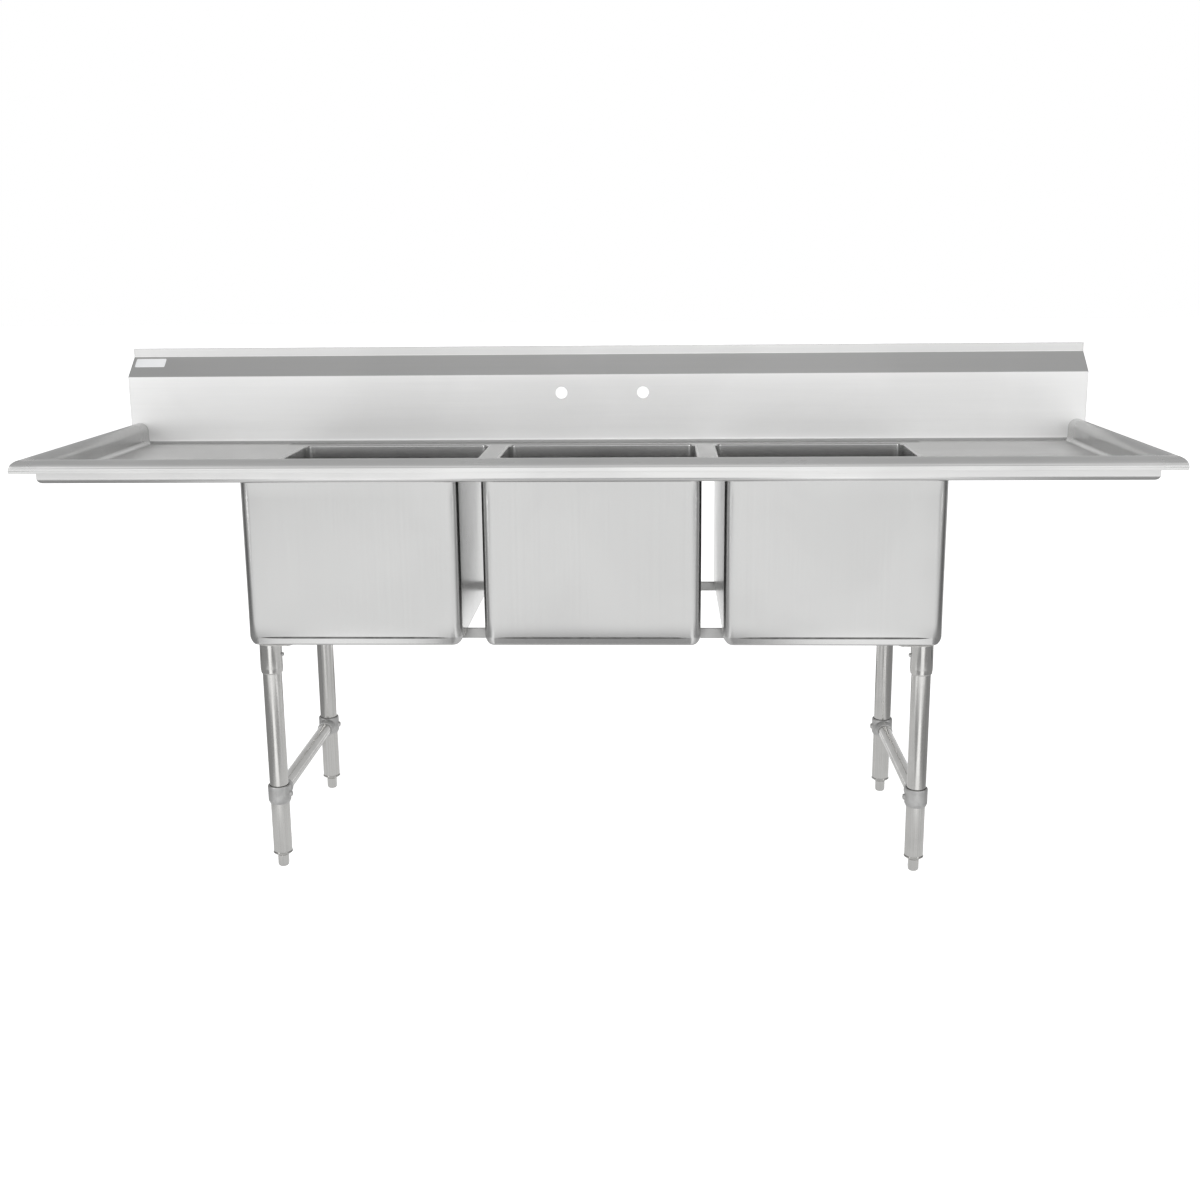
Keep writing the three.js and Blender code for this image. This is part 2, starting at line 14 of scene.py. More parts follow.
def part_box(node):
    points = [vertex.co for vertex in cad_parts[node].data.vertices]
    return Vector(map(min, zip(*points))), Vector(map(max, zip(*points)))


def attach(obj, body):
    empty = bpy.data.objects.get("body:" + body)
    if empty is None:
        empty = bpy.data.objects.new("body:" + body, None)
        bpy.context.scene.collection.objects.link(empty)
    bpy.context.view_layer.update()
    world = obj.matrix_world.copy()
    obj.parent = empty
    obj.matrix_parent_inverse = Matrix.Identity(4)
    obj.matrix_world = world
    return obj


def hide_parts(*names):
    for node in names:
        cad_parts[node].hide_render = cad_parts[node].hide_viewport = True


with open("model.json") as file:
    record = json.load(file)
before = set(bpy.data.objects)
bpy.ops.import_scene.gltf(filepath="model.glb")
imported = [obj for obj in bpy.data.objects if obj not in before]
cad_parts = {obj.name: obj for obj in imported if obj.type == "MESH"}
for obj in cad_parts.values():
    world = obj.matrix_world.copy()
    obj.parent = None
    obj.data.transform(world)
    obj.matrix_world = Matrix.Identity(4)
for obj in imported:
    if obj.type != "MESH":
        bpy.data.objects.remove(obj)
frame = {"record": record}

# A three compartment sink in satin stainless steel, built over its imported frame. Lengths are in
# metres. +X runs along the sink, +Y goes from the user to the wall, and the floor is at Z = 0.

log = logging.getLogger("sink")

Point2 = tuple[float, float]
Ring = list[Vector]


class Grain(Enum):
    """Which way a finish's fine lines run, as how fast they change along X, Y and Z, per metre."""

    ALONG_SINK = (7.0, 900.0, 900.0)
    FRONT_TO_BACK = (900.0, 7.0, 900.0)
    UPRIGHT = (900.0, 900.0, 5.0)
    CAST = (420.0, 420.0, 420.0)


class Cut(Enum):
    """How one closed shape changes another."""

    AWAY = "DIFFERENCE"
    TOGETHER = "UNION"


class Body(Enum):
    """The sink's fixed body. Feet and baskets ride on bodies named after their places."""

    FRAME = "frame"


# ---- node trees ----


class Wiring:
    """Adds nodes to one tree and joins them by socket name."""

    def __init__(self, tree: bpy.types.NodeTree) -> None:
        """Starts on a tree.

        Args:
            tree: The shader or geometry tree that takes the nodes.
        """
        self.tree = tree

    def socket(self, sockets: Iterable[Any], name: str) -> Any:
        """Finds the shown socket of a name.

        Args:
            sockets: A node's inputs or outputs.
            name: The socket's name.

        Returns:
            The first enabled socket with that name.
        """
        return next(s for s in sockets if s.name == name and s.enabled)

    def feed(self, target: Any, value: Any) -> None:
        """Gives an input its value, or joins a source socket to it.

        Args:
            target: The input socket.
            value: A value or a source socket.
        """
        if isinstance(value, bpy.types.NodeSocket):
            self.tree.links.new(value, target)
        else:
            target.default_value = value

    def add(self, kind: str, inputs: dict[str, Any] | None = None, **settings: Any) -> Any:
        """Adds a node.

        Args:
            kind: The node's type name.
            inputs: Values or source sockets by input name.
            **settings: The node's own properties.

        Returns:
            The new node.
        """
        node = self.tree.nodes.new(kind)
        for key, value in settings.items():
            setattr(node, key, value)
        for name, value in (inputs or {}).items():
            self.feed(self.socket(node.inputs, name), value)
        return node

    def math(self, operation: str, *values: Any, clamp: bool = False) -> Any:
        """Adds a Math node.

        Args:
            operation: The operation's name.
            *values: Numbers or sockets, in order.
            clamp: Whether the result is held between 0 and 1.

        Returns:
            The result socket.
        """
        node = self.tree.nodes.new("ShaderNodeMath")
        node.operation = operation
        node.use_clamp = clamp
        for target, value in zip(node.inputs, values):
            self.feed(target, value)
        return node.outputs[0]

    def vector_math(self, operation: str, *values: Any) -> Any:
        """Adds a Vector Math node.

        Args:
            operation: The operation's name.
            *values: Vectors or sockets, in order.

        Returns:
            The result socket, or the Value socket of LENGTH and DISTANCE.
        """
        node = self.tree.nodes.new("ShaderNodeVectorMath")
        node.operation = operation
        for target, value in zip(node.inputs, values):
            self.feed(target, value)
        return node.outputs["Value" if operation in ("LENGTH", "DISTANCE") else "Vector"]

    def noise(self, place: Any, scale: Any = 1.0, **more: float) -> Any:
        """Adds a noise texture.

        Args:
            place: Where it is read.
            scale: Its scale.
            **more: Its other inputs by name.

        Returns:
            The factor socket.
        """
        inputs = {"Vector": place, "Scale": scale, **more}
        return self.add("ShaderNodeTexNoise", inputs).outputs["Fac"]

    def parts(self, vector: Any) -> Any:
        """Splits a vector.

        Args:
            vector: The source socket.

        Returns:
            The sockets X, Y and Z.
        """
        return self.add("ShaderNodeSeparateXYZ", {"Vector": vector}).outputs

    def mix_colours(self, share: Any, first: Any, second: Any) -> Any:
        """Mixes two colours.

        Args:
            share: How much of the second shows.
            first: A colour or socket.
            second: A colour or socket.

        Returns:
            The colour socket.
        """
        inputs = {"Factor": share, "A": first, "B": second}
        return self.add("ShaderNodeMix", inputs, data_type="RGBA").outputs[2]

    def bump(self, height: Any, distance: float, strength: float, normal: Any = None) -> Any:
        """Adds a bump.

        Args:
            height: The height socket.
            distance: How deep the full height is.
            strength: How strongly it shows.
            normal: The normal that it starts from, if not the plain one.

        Returns:
            The normal socket.
        """
        inputs = {"Strength": strength, "Distance": distance, "Height": height}
        below = {} if normal is None else {"Normal": normal}
        return self.add("ShaderNodeBump", {**inputs, **below}).outputs["Normal"]

    def between(self, value: Any, low: float, high: float, to_low: float, to_high: float) -> Any:
        """Maps a value from one range to another, smoothly and without leaving it.

        Args:
            value: The source socket.
            low: Where the source range starts.
            high: Where it ends.
            to_low: The result at the start.
            to_high: The result at the end.

        Returns:
            The result socket.
        """
        source = {"Value": value, "From Min": low, "From Max": high}
        ends = {**source, "To Min": to_low, "To Max": to_high}
        return self.add("ShaderNodeMapRange", ends, interpolation_type="SMOOTHSTEP").outputs["Result"]

    def group(self, made: bpy.types.NodeTree, inputs: dict[str, Any]) -> Any:
        """Places a node group.

        Args:
            made: The group's tree.
            inputs: Values or source sockets by input name.

        Returns:
            The group node.
        """
        node = self.tree.nodes.new("ShaderNodeGroup")
        node.node_tree = made
        for name, value in inputs.items():
            self.feed(node.inputs[name], value)
        return node


def start_tree(
    name: str, kind: str, inputs: dict[str, str], outputs: dict[str, str]
) -> tuple[Wiring, Any, Any]:
    """Starts a group with named sockets.

    Args:
        name: The group's name.
        kind: ShaderNodeTree or GeometryNodeTree.
        inputs: Socket types by input name.
        outputs: Socket types by output name.

    Returns:
        The wiring of the new tree, the sockets that come in and the sockets that go out.
    """
    tree = bpy.data.node_groups.new(name, kind)
    for in_out, sockets in (("INPUT", inputs), ("OUTPUT", outputs)):
        for label, socket_type in sockets.items():
            tree.interface.new_socket(name=label, in_out=in_out, socket_type=socket_type)
    source, result = tree.nodes.new("NodeGroupInput"), tree.nodes.new("NodeGroupOutput")
    return Wiring(tree), source.outputs, result.inputs


def start_material(name: str) -> tuple[bpy.types.Material, Wiring, Any]:
    """Starts a material with an empty tree.

    Args:
        name: The material's name.

    Returns:
        The material, its wiring and its Object coordinates.
    """
    made = bpy.data.materials.new(name)
    made.use_nodes = True
    made.node_tree.nodes.clear()
    wiring = Wiring(made.node_tree)
    return made, wiring, wiring.add("ShaderNodeTexCoord").outputs["Object"]


def end_material(wiring: Wiring, surface: dict[str, Any]) -> None:
    """Ends a material in one shader.

    Args:
        wiring: The material's wiring.
        surface: The shader's inputs by name.
    """
    shader = wiring.add("ShaderNodeBsdfPrincipled", surface)
    wiring.add("ShaderNodeOutputMaterial", {"Surface": shader.outputs["BSDF"]})


SHADER = "ShaderNodeTree"
FLOAT = "NodeSocketFloat"
VECTOR = "NodeSocketVector"
SHAPE = "NodeSocketGeometry"


class SurfaceGroups:
    """The shader groups that the finishes share, each built once."""

    def __init__(self) -> None:
        """Builds every group."""
        self.grain = self._drawn_grain()
        self.marks = self._handling_marks()
        self.buckle = self._sheet_buckle()
        self.heat = self._weld_polish()
        self.dust = self._settled_dust()
        self.shade = self._shaded_box()

    @staticmethod
    def _drawn_grain() -> bpy.types.NodeTree:
        """Fine lines that the belt or the die leaves, with some broader bands among them.

        Returns:
            The group's tree.
        """
        inputs = {"Position": VECTOR, "Stretch": VECTOR, "Bands": FLOAT}
        outputs = {"Streak": FLOAT, "Height": FLOAT}
        wiring, source, result = start_tree("drawn_grain", SHADER, inputs, outputs)
        along = wiring.vector_math("MULTIPLY", source["Position"], source["Stretch"])
        fine = wiring.noise(along, Detail=3.0, Roughness=0.65)
        slower = wiring.vector_math("MULTIPLY", along, (0.35, 0.09, 0.09))
        broad = wiring.noise(slower, Detail=2.0, Roughness=0.5)
        either = {"Factor": source["Bands"], "A": fine, "B": broad}
        mixed = wiring.add("ShaderNodeMix", either, data_type="FLOAT").outputs["Result"]
        wiring.feed(result["Streak"], mixed)
        wiring.feed(result["Height"], fine)
        return wiring.tree

    @staticmethod
    def _handling_marks() -> bpy.types.NodeTree:
        """Cloudy patches where the sheet was wiped and handled.

        Returns:
            The group's tree.
        """
        inputs = {"Position": VECTOR, "Size": FLOAT}
        wiring, source, result = start_tree("handling_marks", SHADER, inputs, {"Patch": FLOAT})
        rate = wiring.math("DIVIDE", 1.0, source["Size"])
        cloud = wiring.noise(source["Position"], rate, Detail=4.0, Distortion=0.6)
        wiring.feed(result["Patch"], wiring.between(cloud, 0.35, 0.68, 0.0, 1.0))
        return wiring.tree

    @staticmethod
    def _sheet_buckle() -> bpy.types.NodeTree:
        """The slow waviness that thin sheet keeps after folding and welding.

        Returns:
            The group's tree.
        """
        inputs = {"Position": VECTOR, "Wave": FLOAT}
        wiring, source, result = start_tree("sheet_buckle", SHADER, inputs, {"Height": FLOAT})
        rate = wiring.math("DIVIDE", 1.0, source["Wave"])
        wiring.feed(result["Height"], wiring.noise(source["Position"], rate, Detail=1.0, Roughness=0.3))
        return wiring.tree

    @staticmethod
    def _weld_polish() -> bpy.types.NodeTree:
        """A ground and polished spot round a weld, alike on the left and the right of the sink.

        Returns:
            The group's tree.
        """
        inputs = {"Position": VECTOR, "Centre": VECTOR, "Reach": FLOAT}
        wiring, source, result = start_tree("weld_polish", SHADER, inputs, {"Mask": FLOAT})
        signed = wiring.parts(source["Position"])
        either = wiring.parts(wiring.vector_math("ABSOLUTE", source["Position"]))
        folded = {"X": either["X"], "Y": signed["Y"], "Z": signed["Z"]}
        mirrored = wiring.add("ShaderNodeCombineXYZ", folded).outputs["Vector"]
        away = wiring.vector_math("DISTANCE", mirrored, source["Centre"])
        ragged = wiring.math("SUBTRACT", wiring.noise(source["Position"], 45.0, Detail=2.0), 0.5)
        share = wiring.math("DIVIDE", away, source["Reach"])
        edge = wiring.math("ADD", share, wiring.math("MULTIPLY", ragged, 0.9))
        wiring.feed(result["Mask"], wiring.between(edge, 0.3, 1.0, 1.0, 0.0))
        return wiring.tree

    @staticmethod
    def _settled_dust() -> bpy.types.NodeTree:
        """Fine dust on whatever faces up.

        Returns:
            The group's tree.
        """
        inputs = {"Position": VECTOR, "Amount": FLOAT}
        wiring, source, result = start_tree("settled_dust", SHADER, inputs, {"Mask": FLOAT})
        facing = wiring.parts(wiring.add("ShaderNodeNewGeometry").outputs["Normal"])
        up = wiring.between(facing["Z"], 0.6, 1.0, 0.0, 1.0)
        speckle = wiring.between(wiring.noise(source["Position"], 60.0, Detail=5.0), 0.4, 0.75, 0.0, 1.0)
        mask = wiring.math("MULTIPLY", wiring.math("MULTIPLY", up, speckle), source["Amount"])
        wiring.feed(result["Mask"], mask)
        return wiring.tree

    @staticmethod
    def _shaded_box() -> bpy.types.NodeTree:
        """A soft-edged box mask, inside which a finish's colour is darkened as painted shade.

        Returns:
            The group's tree.
        """
        inputs = {"Position": VECTOR, "Centre": VECTOR, "Half": VECTOR, "Soft": FLOAT}
        wiring, source, result = start_tree("shaded_box", SHADER, inputs, {"Mask": FLOAT})
        away = wiring.vector_math("SUBTRACT", source["Position"], source["Centre"])
        past = wiring.parts(
            wiring.vector_math("SUBTRACT", wiring.vector_math("ABSOLUTE", away), source["Half"])
        )
        most = wiring.math("MAXIMUM", wiring.math("MAXIMUM", past["X"], past["Y"]), past["Z"])
        share = wiring.math("DIVIDE", most, source["Soft"])
        wiring.feed(result["Mask"], wiring.between(share, -1.0, 0.0, 1.0, 0.0))
        return wiring.tree


# ---- finishes ----


DUST_COLOUR = (0.62, 0.61, 0.59, 1.0)
RUBBER_COLOUR = (0.018, 0.018, 0.019, 1.0)
WORN_RUBBER = (0.04, 0.04, 0.042, 1.0)
BAND_SHARE = 0.45  # how much of the grain's colour is broad bands


@dataclass(frozen=True)
class Shade:
    """A box where a finish's colour is darkened: painted shade."""

    low: tuple[float, float, float]
    high: tuple[float, float, float]
    soft: float
    amount: float


@dataclass(frozen=True)
class SteelFinish:
    """Steel or cast metal with a grain, wiping marks and polished spots round its welds."""

    name: str
    slot: str
    tint: tuple[float, float, float]
    roughness: float
    grain: Grain
    grain_contrast: float = 0.10
    grain_depth: float = 0.00002
    patch_size: float = 0.25
    patch_contrast: float = 0.06
    buckle_depth: float = 0.0
    buckle_wave: float = 0.35
    welds: tuple[tuple[float, float, float, float], ...] = ()
    # Boxes where the colour is darkened: painted shade.
    shades: tuple[Shade, ...] = ()
    dust: float = 0.05
    metallic: float = 1.0

    def build(self, groups: SurfaceGroups) -> bpy.types.Material:
        """Makes the material.

        Args:
            groups: The shared shader groups.

        Returns:
            The finished material.
        """
        made, wiring, place = start_material(self.name)
        grain = wiring.group(
            groups.grain, {"Position": place, "Stretch": self.grain.value, "Bands": BAND_SHARE}
        )
        patch = wiring.group(groups.marks, {"Position": place, "Size": self.patch_size}).outputs["Patch"]
        dust = wiring.group(groups.dust, {"Position": place, "Amount": self.dust}).outputs["Mask"]
        polish = self._polish(wiring, groups, place)
        streak = wiring.math("SUBTRACT", grain.outputs["Streak"], 0.5)
        colour = wiring.vector_math("SCALE", self.tint)
        wiring.feed(colour.node.inputs["Scale"], self._tone(wiring, groups, place, streak, patch))
        rough = wiring.math("MULTIPLY_ADD", streak, self.grain_contrast * 0.9, self.roughness)
        rough = wiring.math("MULTIPLY_ADD", patch, self.patch_contrast * 0.7, rough)
        rough = wiring.math("MULTIPLY_ADD", dust, 0.3, rough)
        surface = {
            "Base Color": wiring.mix_colours(dust, colour, DUST_COLOUR),
            "Roughness": wiring.math("MULTIPLY_ADD", polish, -0.10, rough, clamp=True),
            "Metallic": self.metallic,
            "Normal": self._relief(wiring, groups, place, grain.outputs["Height"], polish),
        }
        end_material(wiring, surface)
        return made

    def _tone(self, wiring: Wiring, groups: SurfaceGroups, place: Any, streak: Any, patch: Any) -> Any:
        """Works out how light the finish's colour is from point to point, including its boxes of painted
        shade.

        Args:
            wiring: The material's wiring.
            groups: The shared shader groups.
            place: The position socket.
            streak: The grain, round zero.
            patch: The wiping marks.

        Returns:
            The socket that scales the tint.
        """
        tone = wiring.math("MULTIPLY_ADD", streak, self.grain_contrast * 2.0, 1.0)
        tone = wiring.math("MULTIPLY_ADD", patch, -self.patch_contrast, tone)
        # Each shade box darkens the colour inside it: painted shade.
        for shade in self.shades:
            low, high = Vector(shade.low), Vector(shade.high)
            box = {"Position": place, "Centre": (low + high) / 2, "Half": (high - low) / 2}
            painted_shade = wiring.group(groups.shade, {**box, "Soft": shade.soft}).outputs["Mask"]
            tone = wiring.math("MULTIPLY", tone, wiring.math("MULTIPLY_ADD", painted_shade, -shade.amount, 1.0))
        return tone

    def _polish(self, wiring: Wiring, groups: SurfaceGroups, place: Any) -> Any:
        """Adds up the polished spots round the welds.

        Args:
            wiring: The material's wiring.
            groups: The shared shader groups.
            place: The position socket.

        Returns:
            A mask socket, or 0.0 where the finish has no welds.
        """
        total: Any = 0.0
        for x, y, z, reach in self.welds:
            spot = wiring.group(groups.heat, {"Position": place, "Centre": (x, y, z), "Reach": reach})
            total = wiring.math("MAXIMUM", total, spot.outputs["Mask"])
        return total

    def _relief(self, wiring: Wiring, groups: SurfaceGroups, place: Any, fine: Any, polish: Any) -> Any:
        """Joins the grain's relief to the sheet's slow buckle and the welds' pull.

        Args:
            wiring: The material's wiring.
            groups: The shared shader groups.
            place: The position socket.
            fine: The grain's height.
            polish: The mask round the welds.

        Returns:
            The normal socket.
        """
        below = None
        if self.buckle_depth:
            swell = wiring.group(groups.buckle, {"Position": place, "Wave": self.buckle_wave})
            pulled = wiring.math("MULTIPLY_ADD", polish, 0.10, swell.outputs["Height"])
            below = wiring.bump(pulled, self.buckle_depth, 1.0)
        return wiring.bump(fine, self.grain_depth, 0.6, below)


@dataclass(frozen=True)
class RubberFinish:
    """Dull black rubber with a fine moulded texture."""

    name: str
    slot: str

    def build(self, groups: SurfaceGroups) -> bpy.types.Material:
        """Makes the material.

        Args:
            groups: The shared shader groups.

        Returns:
            The finished material.
        """
        made, wiring, place = start_material(self.name)
        patch = wiring.group(groups.marks, {"Position": place, "Size": 0.012}).outputs["Patch"]
        pores = wiring.noise(place, 1800.0)
        surface = {
            "Base Color": wiring.mix_colours(patch, RUBBER_COLOUR, WORN_RUBBER),
            "Roughness": wiring.math("MULTIPLY_ADD", patch, 0.1, 0.62),
            "Normal": wiring.bump(pores, 0.0001, 0.4),
        }
        end_material(wiring, surface)
        return made


class Paintbox:
    """Holds the built materials and puts them on pieces."""

    def __init__(self) -> None:
        """Builds the shared groups."""
        self.groups = SurfaceGroups()
        self.built: dict[str, bpy.types.Material] = {}

    def material(self, finish: SteelFinish | RubberFinish) -> bpy.types.Material:
        """Gives a finish's material, built on first use.

        Args:
            finish: The finish.

        Returns:
            Its material.
        """
        if finish.name not in self.built:
            self.built[finish.name] = finish.build(self.groups)
        return self.built[finish.name]


# ---- shapes ----


def arc(centre: Point2, radius: float, start: float, end: float, steps: int) -> list[Point2]:
    """Points along an arc.

    Args:
        centre: The arc's centre.
        radius: Its radius.
        start: The first point's angle, in degrees.
        end: The last point's angle, in degrees.
        steps: How many stretches it has.

    Returns:
        The points, both ends included.
    """
    angles = [math.radians(start + (end - start) * i / steps) for i in range(steps + 1)]
    return [(centre[0] + radius * math.cos(a), centre[1] + radius * math.sin(a)) for a in angles]


def rod(radius: float, low: float, high: float) -> list[Point2]:
    """The profile of a plain rod, which a lathe turns.

    Args:
        radius: The rod's radius.
        low: Where it starts on its axis.
        high: Where it ends.

    Returns:
        The profile, as radius and height pairs.
    """
    return [(0, low), (radius, low), (radius, high), (0, high)]


def folded_line(corners: Sequence[Point2], radii: Sequence[float], steps: int = 6) -> list[Point2]:
    """A line with its inner corners rounded, as a press brake leaves them.

    Args:
        corners: The line's corners in order.
        radii: One bend radius for each inner corner.
        steps: Stretches in each bend.

    Returns:
        The rounded line's points.
    """
    line = [corners[0]]
    for (before, corner, after), radius in zip(zip(corners, corners[1:], corners[2:]), radii):
        here = Vector(corner)
        back, ahead = (Vector(before) - here).normalized(), (Vector(after) - here).normalized()
        half = back.angle(ahead) / 2
        reach = radius / math.tan(half)
        start, end = here + back * reach, here + ahead * reach
        middle = here + (back + ahead).normalized() * (radius / math.sin(half))
        for i in range(steps + 1):
            share = i / steps
            spoke = (start - middle).lerp(end - middle, share).normalized() * radius
            line.append(tuple(middle + spoke))
    return [*line, corners[-1]]


def set_off(line: Sequence[Point2], distance: float) -> list[Point2]:
    """The same line moved to its right by a distance.

    Args:
        line: The line's points.
        distance: How far it moves.

    Returns:
        The moved points.
    """
    moved = []
    for i, point in enumerate(line):
        before = Vector(line[max(i, 1)]) - Vector(line[max(i, 1) - 1])
        after = Vector(line[min(i + 1, len(line) - 1)]) - Vector(line[min(i, len(line) - 2)])
        normals = [Vector((run.y, -run.x)).normalized() for run in (before, after)]
        mid = (normals[0] + normals[1]).normalized()
        moved.append(tuple(Vector(point) + mid * (distance / mid.dot(normals[0]))))
    return moved


def rounded_rectangle(
    half_x: float, half_y: float, radius: float, corner: int, side: int
) -> list[Point2]:
    """A rectangle with round corners, with the same number of points whatever its size.

    Args:
        half_x: Half its width.
        half_y: Half its length.
        radius: Its corner radius.
        corner: Stretches in each corner.
        side: Points along each side between two corners.

    Returns:
        Its points, from the corner towards +X and +Y, counter-clockwise.
    """
    quarters = []
    for quarter, (sx, sy) in enumerate(((1, 1), (-1, 1), (-1, -1), (1, -1))):
        middle = (sx * (half_x - radius), sy * (half_y - radius))
        quarters.append(arc(middle, radius, 90 * quarter, 90 * quarter + 90, corner))
    points: list[Point2] = []
    for quarter, following in zip(quarters, quarters[1:] + quarters[:1]):
        start, end = Vector(quarter[-1]), Vector(following[0])
        between = [tuple(start.lerp(end, (i + 1) / (side + 1))) for i in range(side)]
        points += [*quarter, *between]
    return points


class Shape:
    """Collects the corners and faces of one piece before it becomes an object."""

    def __init__(self) -> None:
        """Starts empty."""
        self.points: list[Vector] = []
        self.faces: list[tuple[int, ...]] = []

    def loft(self, rings: Sequence[Ring], loop: bool = False) -> "Shape":
        """Adds a skin through rings of equally many points.

        Args:
            rings: The rings in order.
            loop: Whether the last ring joins the first. Otherwise both ends are capped.

        Returns:
            The shape itself.
        """
        base, count = len(self.points), len(rings[0])
        for ring in rings:
            self.points += [Vector(p) for p in ring]
        for r in range(len(rings) if loop else len(rings) - 1):
            here, there = base + r * count, base + (r + 1) % len(rings) * count
            for i in range(count):
                j = (i + 1) % count
                self.faces.append((here + i, here + j, there + j, there + i))
        if not loop:
            last = base + (len(rings) - 1) * count
            self.faces.append(tuple(range(base + count - 1, base - 1, -1)))
            self.faces.append(tuple(range(last, last + count)))
        return self

    def turn(self, profile: Sequence[Point2], place: Matrix, segments: int = 48) -> "Shape":
        """Adds a profile turned about the Z axis of its place.

        Args:
            profile: Radius and height pairs. It closes on itself, or starts and ends on the axis.
            place: Where its axis stands.
            segments: How many stretches go round.

        Returns:
            The shape itself.
        """
        rows: list[list[int]] = []
        for radius, height in profile:
            count = 1 if radius < 1e-7 else segments
            rows.append(list(range(len(self.points), len(self.points) + count)))
            for i in range(count):
                a = 2 * math.pi * i / segments
                self.points.append(place @ Vector((radius * math.cos(a), radius * math.sin(a), height)))
        closed = profile[0][0] > 1e-7
        pairs = zip(rows, rows[1:] + rows[:1]) if closed else zip(rows, rows[1:])
        for low, high in pairs:
            for i in range(segments):
                j = (i + 1) % segments
                below = (low[i % len(low)], low[j % len(low)])
                above = (high[j % len(high)], high[i % len(high)])
                face = tuple(dict.fromkeys((*below, *above)))
                if len(face) > 2:
                    self.faces.append(face)
        return self

    def plate(
        self, outlines: Sequence[Sequence[Point2]], low: float, high: float, place: Matrix
    ) -> "Shape":
        """Adds a flat plate with holes.

        Args:
            outlines: The outer outline, then each hole's.
            low: The height of its underside in its place.
            high: The height of its top.
            place: Where it lies.

        Returns:
            The shape itself.
        """
        flat = [[Vector((*p, 0.0)) for p in outline] for outline in outlines]
        corners = [p for outline in flat for p in outline]
        base, count = len(self.points), len(corners)
        for height in (low, high):
            self.points += [place @ Vector((p.x, p.y, height)) for p in corners]
        for a, b, c in tessellate_polygon(flat):
            turn = (corners[b] - corners[a]).cross(corners[c] - corners[a]).z
            a, b, c = (a, b, c) if turn > 0 else (a, c, b)
            top = base + count
            self.faces += [(base + c, base + b, base + a), (top + a, top + b, top + c)]
        start = base
        for outline in flat:
            for i in range(len(outline)):
                j = (i + 1) % len(outline)
                self.faces.append((start + i, start + j, start + count + j, start + count + i))
            start += len(outline)
        return self

    def into_object(self, name: str, sharp: float = 35.0) -> bpy.types.Object:
        """Makes the object, with its faces outwards and smooth up to an angle.

        Args:
            name: The piece's name.
            sharp: The angle in degrees from which an edge stays sharp.

        Returns:
            The object, linked to the scene.
        """
        mesh = bpy.data.meshes.new(name)
        mesh.from_pydata(self.points, [], self.faces)
        piece = bpy.data.objects.new(name, mesh)
        bpy.context.scene.collection.objects.link(piece)
        work = bmesh.new()
        work.from_mesh(mesh)
        bmesh.ops.recalc_face_normals(work, faces=work.faces)
        if work.calc_volume(signed=True) < 0:
            bmesh.ops.reverse_faces(work, faces=work.faces)
        work.to_mesh(mesh)
        work.free()
        smooth(piece, sharp)
        return piece


def smooth(piece: bpy.types.Object, sharp: float) -> None:
    """Shades a piece smooth, with its sharper edges kept.

    Args:
        piece: The object.
        sharp: The angle in degrees from which an edge stays sharp.
    """
    piece.data.shade_smooth()
    piece.data.set_sharp_from_angle(angle=math.radians(sharp))


def settle(piece: bpy.types.Object) -> bpy.types.Object:
    """Turns a piece's modifiers into its plain mesh.

    Args:
        piece: The object.

    Returns:
        The same object, with no modifier left.
    """
    ready = piece.evaluated_get(bpy.context.evaluated_depsgraph_get())
    mesh = bpy.data.meshes.new_from_object(ready)
    piece.modifiers.clear()
    piece.data = mesh
    return piece


def combine(piece: bpy.types.Object, tools: Sequence[bpy.types.Object], how: Cut) -> bpy.types.Object:
    """Cuts shapes away from a piece or joins them to it, and removes them.

    Args:
        piece: The object that stays.
        tools: The shapes that are used up.
        how: Whether they are cut away or joined.

    Returns:
        The piece.
    """
    for tool in tools:
        step = piece.modifiers.new("combine", "BOOLEAN")
        step.operation = how.value
        step.solver = "EXACT"
        step.object = tool
    settle(piece)
    for tool in tools:
        bpy.data.objects.remove(tool)
    return piece


def round_edges(piece: bpy.types.Object, width: float, segments: int = 2) -> bpy.types.Object:
    """Breaks a piece's sharp edges.

    Args:
        piece: The object.
        width: How wide the broken edge is.
        segments: How many stretches it has.

    Returns:
        The piece, with a plain mesh.
    """
    step = piece.modifiers.new("edges", "BEVEL")
    step.width = width
    step.segments = segments
    step.limit_method = "ANGLE"
    step.angle_limit = math.radians(35)
    step.harden_normals = False
    settle(piece)
    smooth(piece, 35)
    return piece


def axis_place(start: Vector, direction: Vector) -> Matrix:
    """A place whose Z axis runs along a direction.

    Args:
        start: Its origin.
        direction: Where its Z axis points.

    Returns:
        The matrix.
    """
    return Matrix.Translation(start) @ direction.to_track_quat("Z", "Y").to_matrix().to_4x4()


# ---- repeated details, by geometry nodes ----


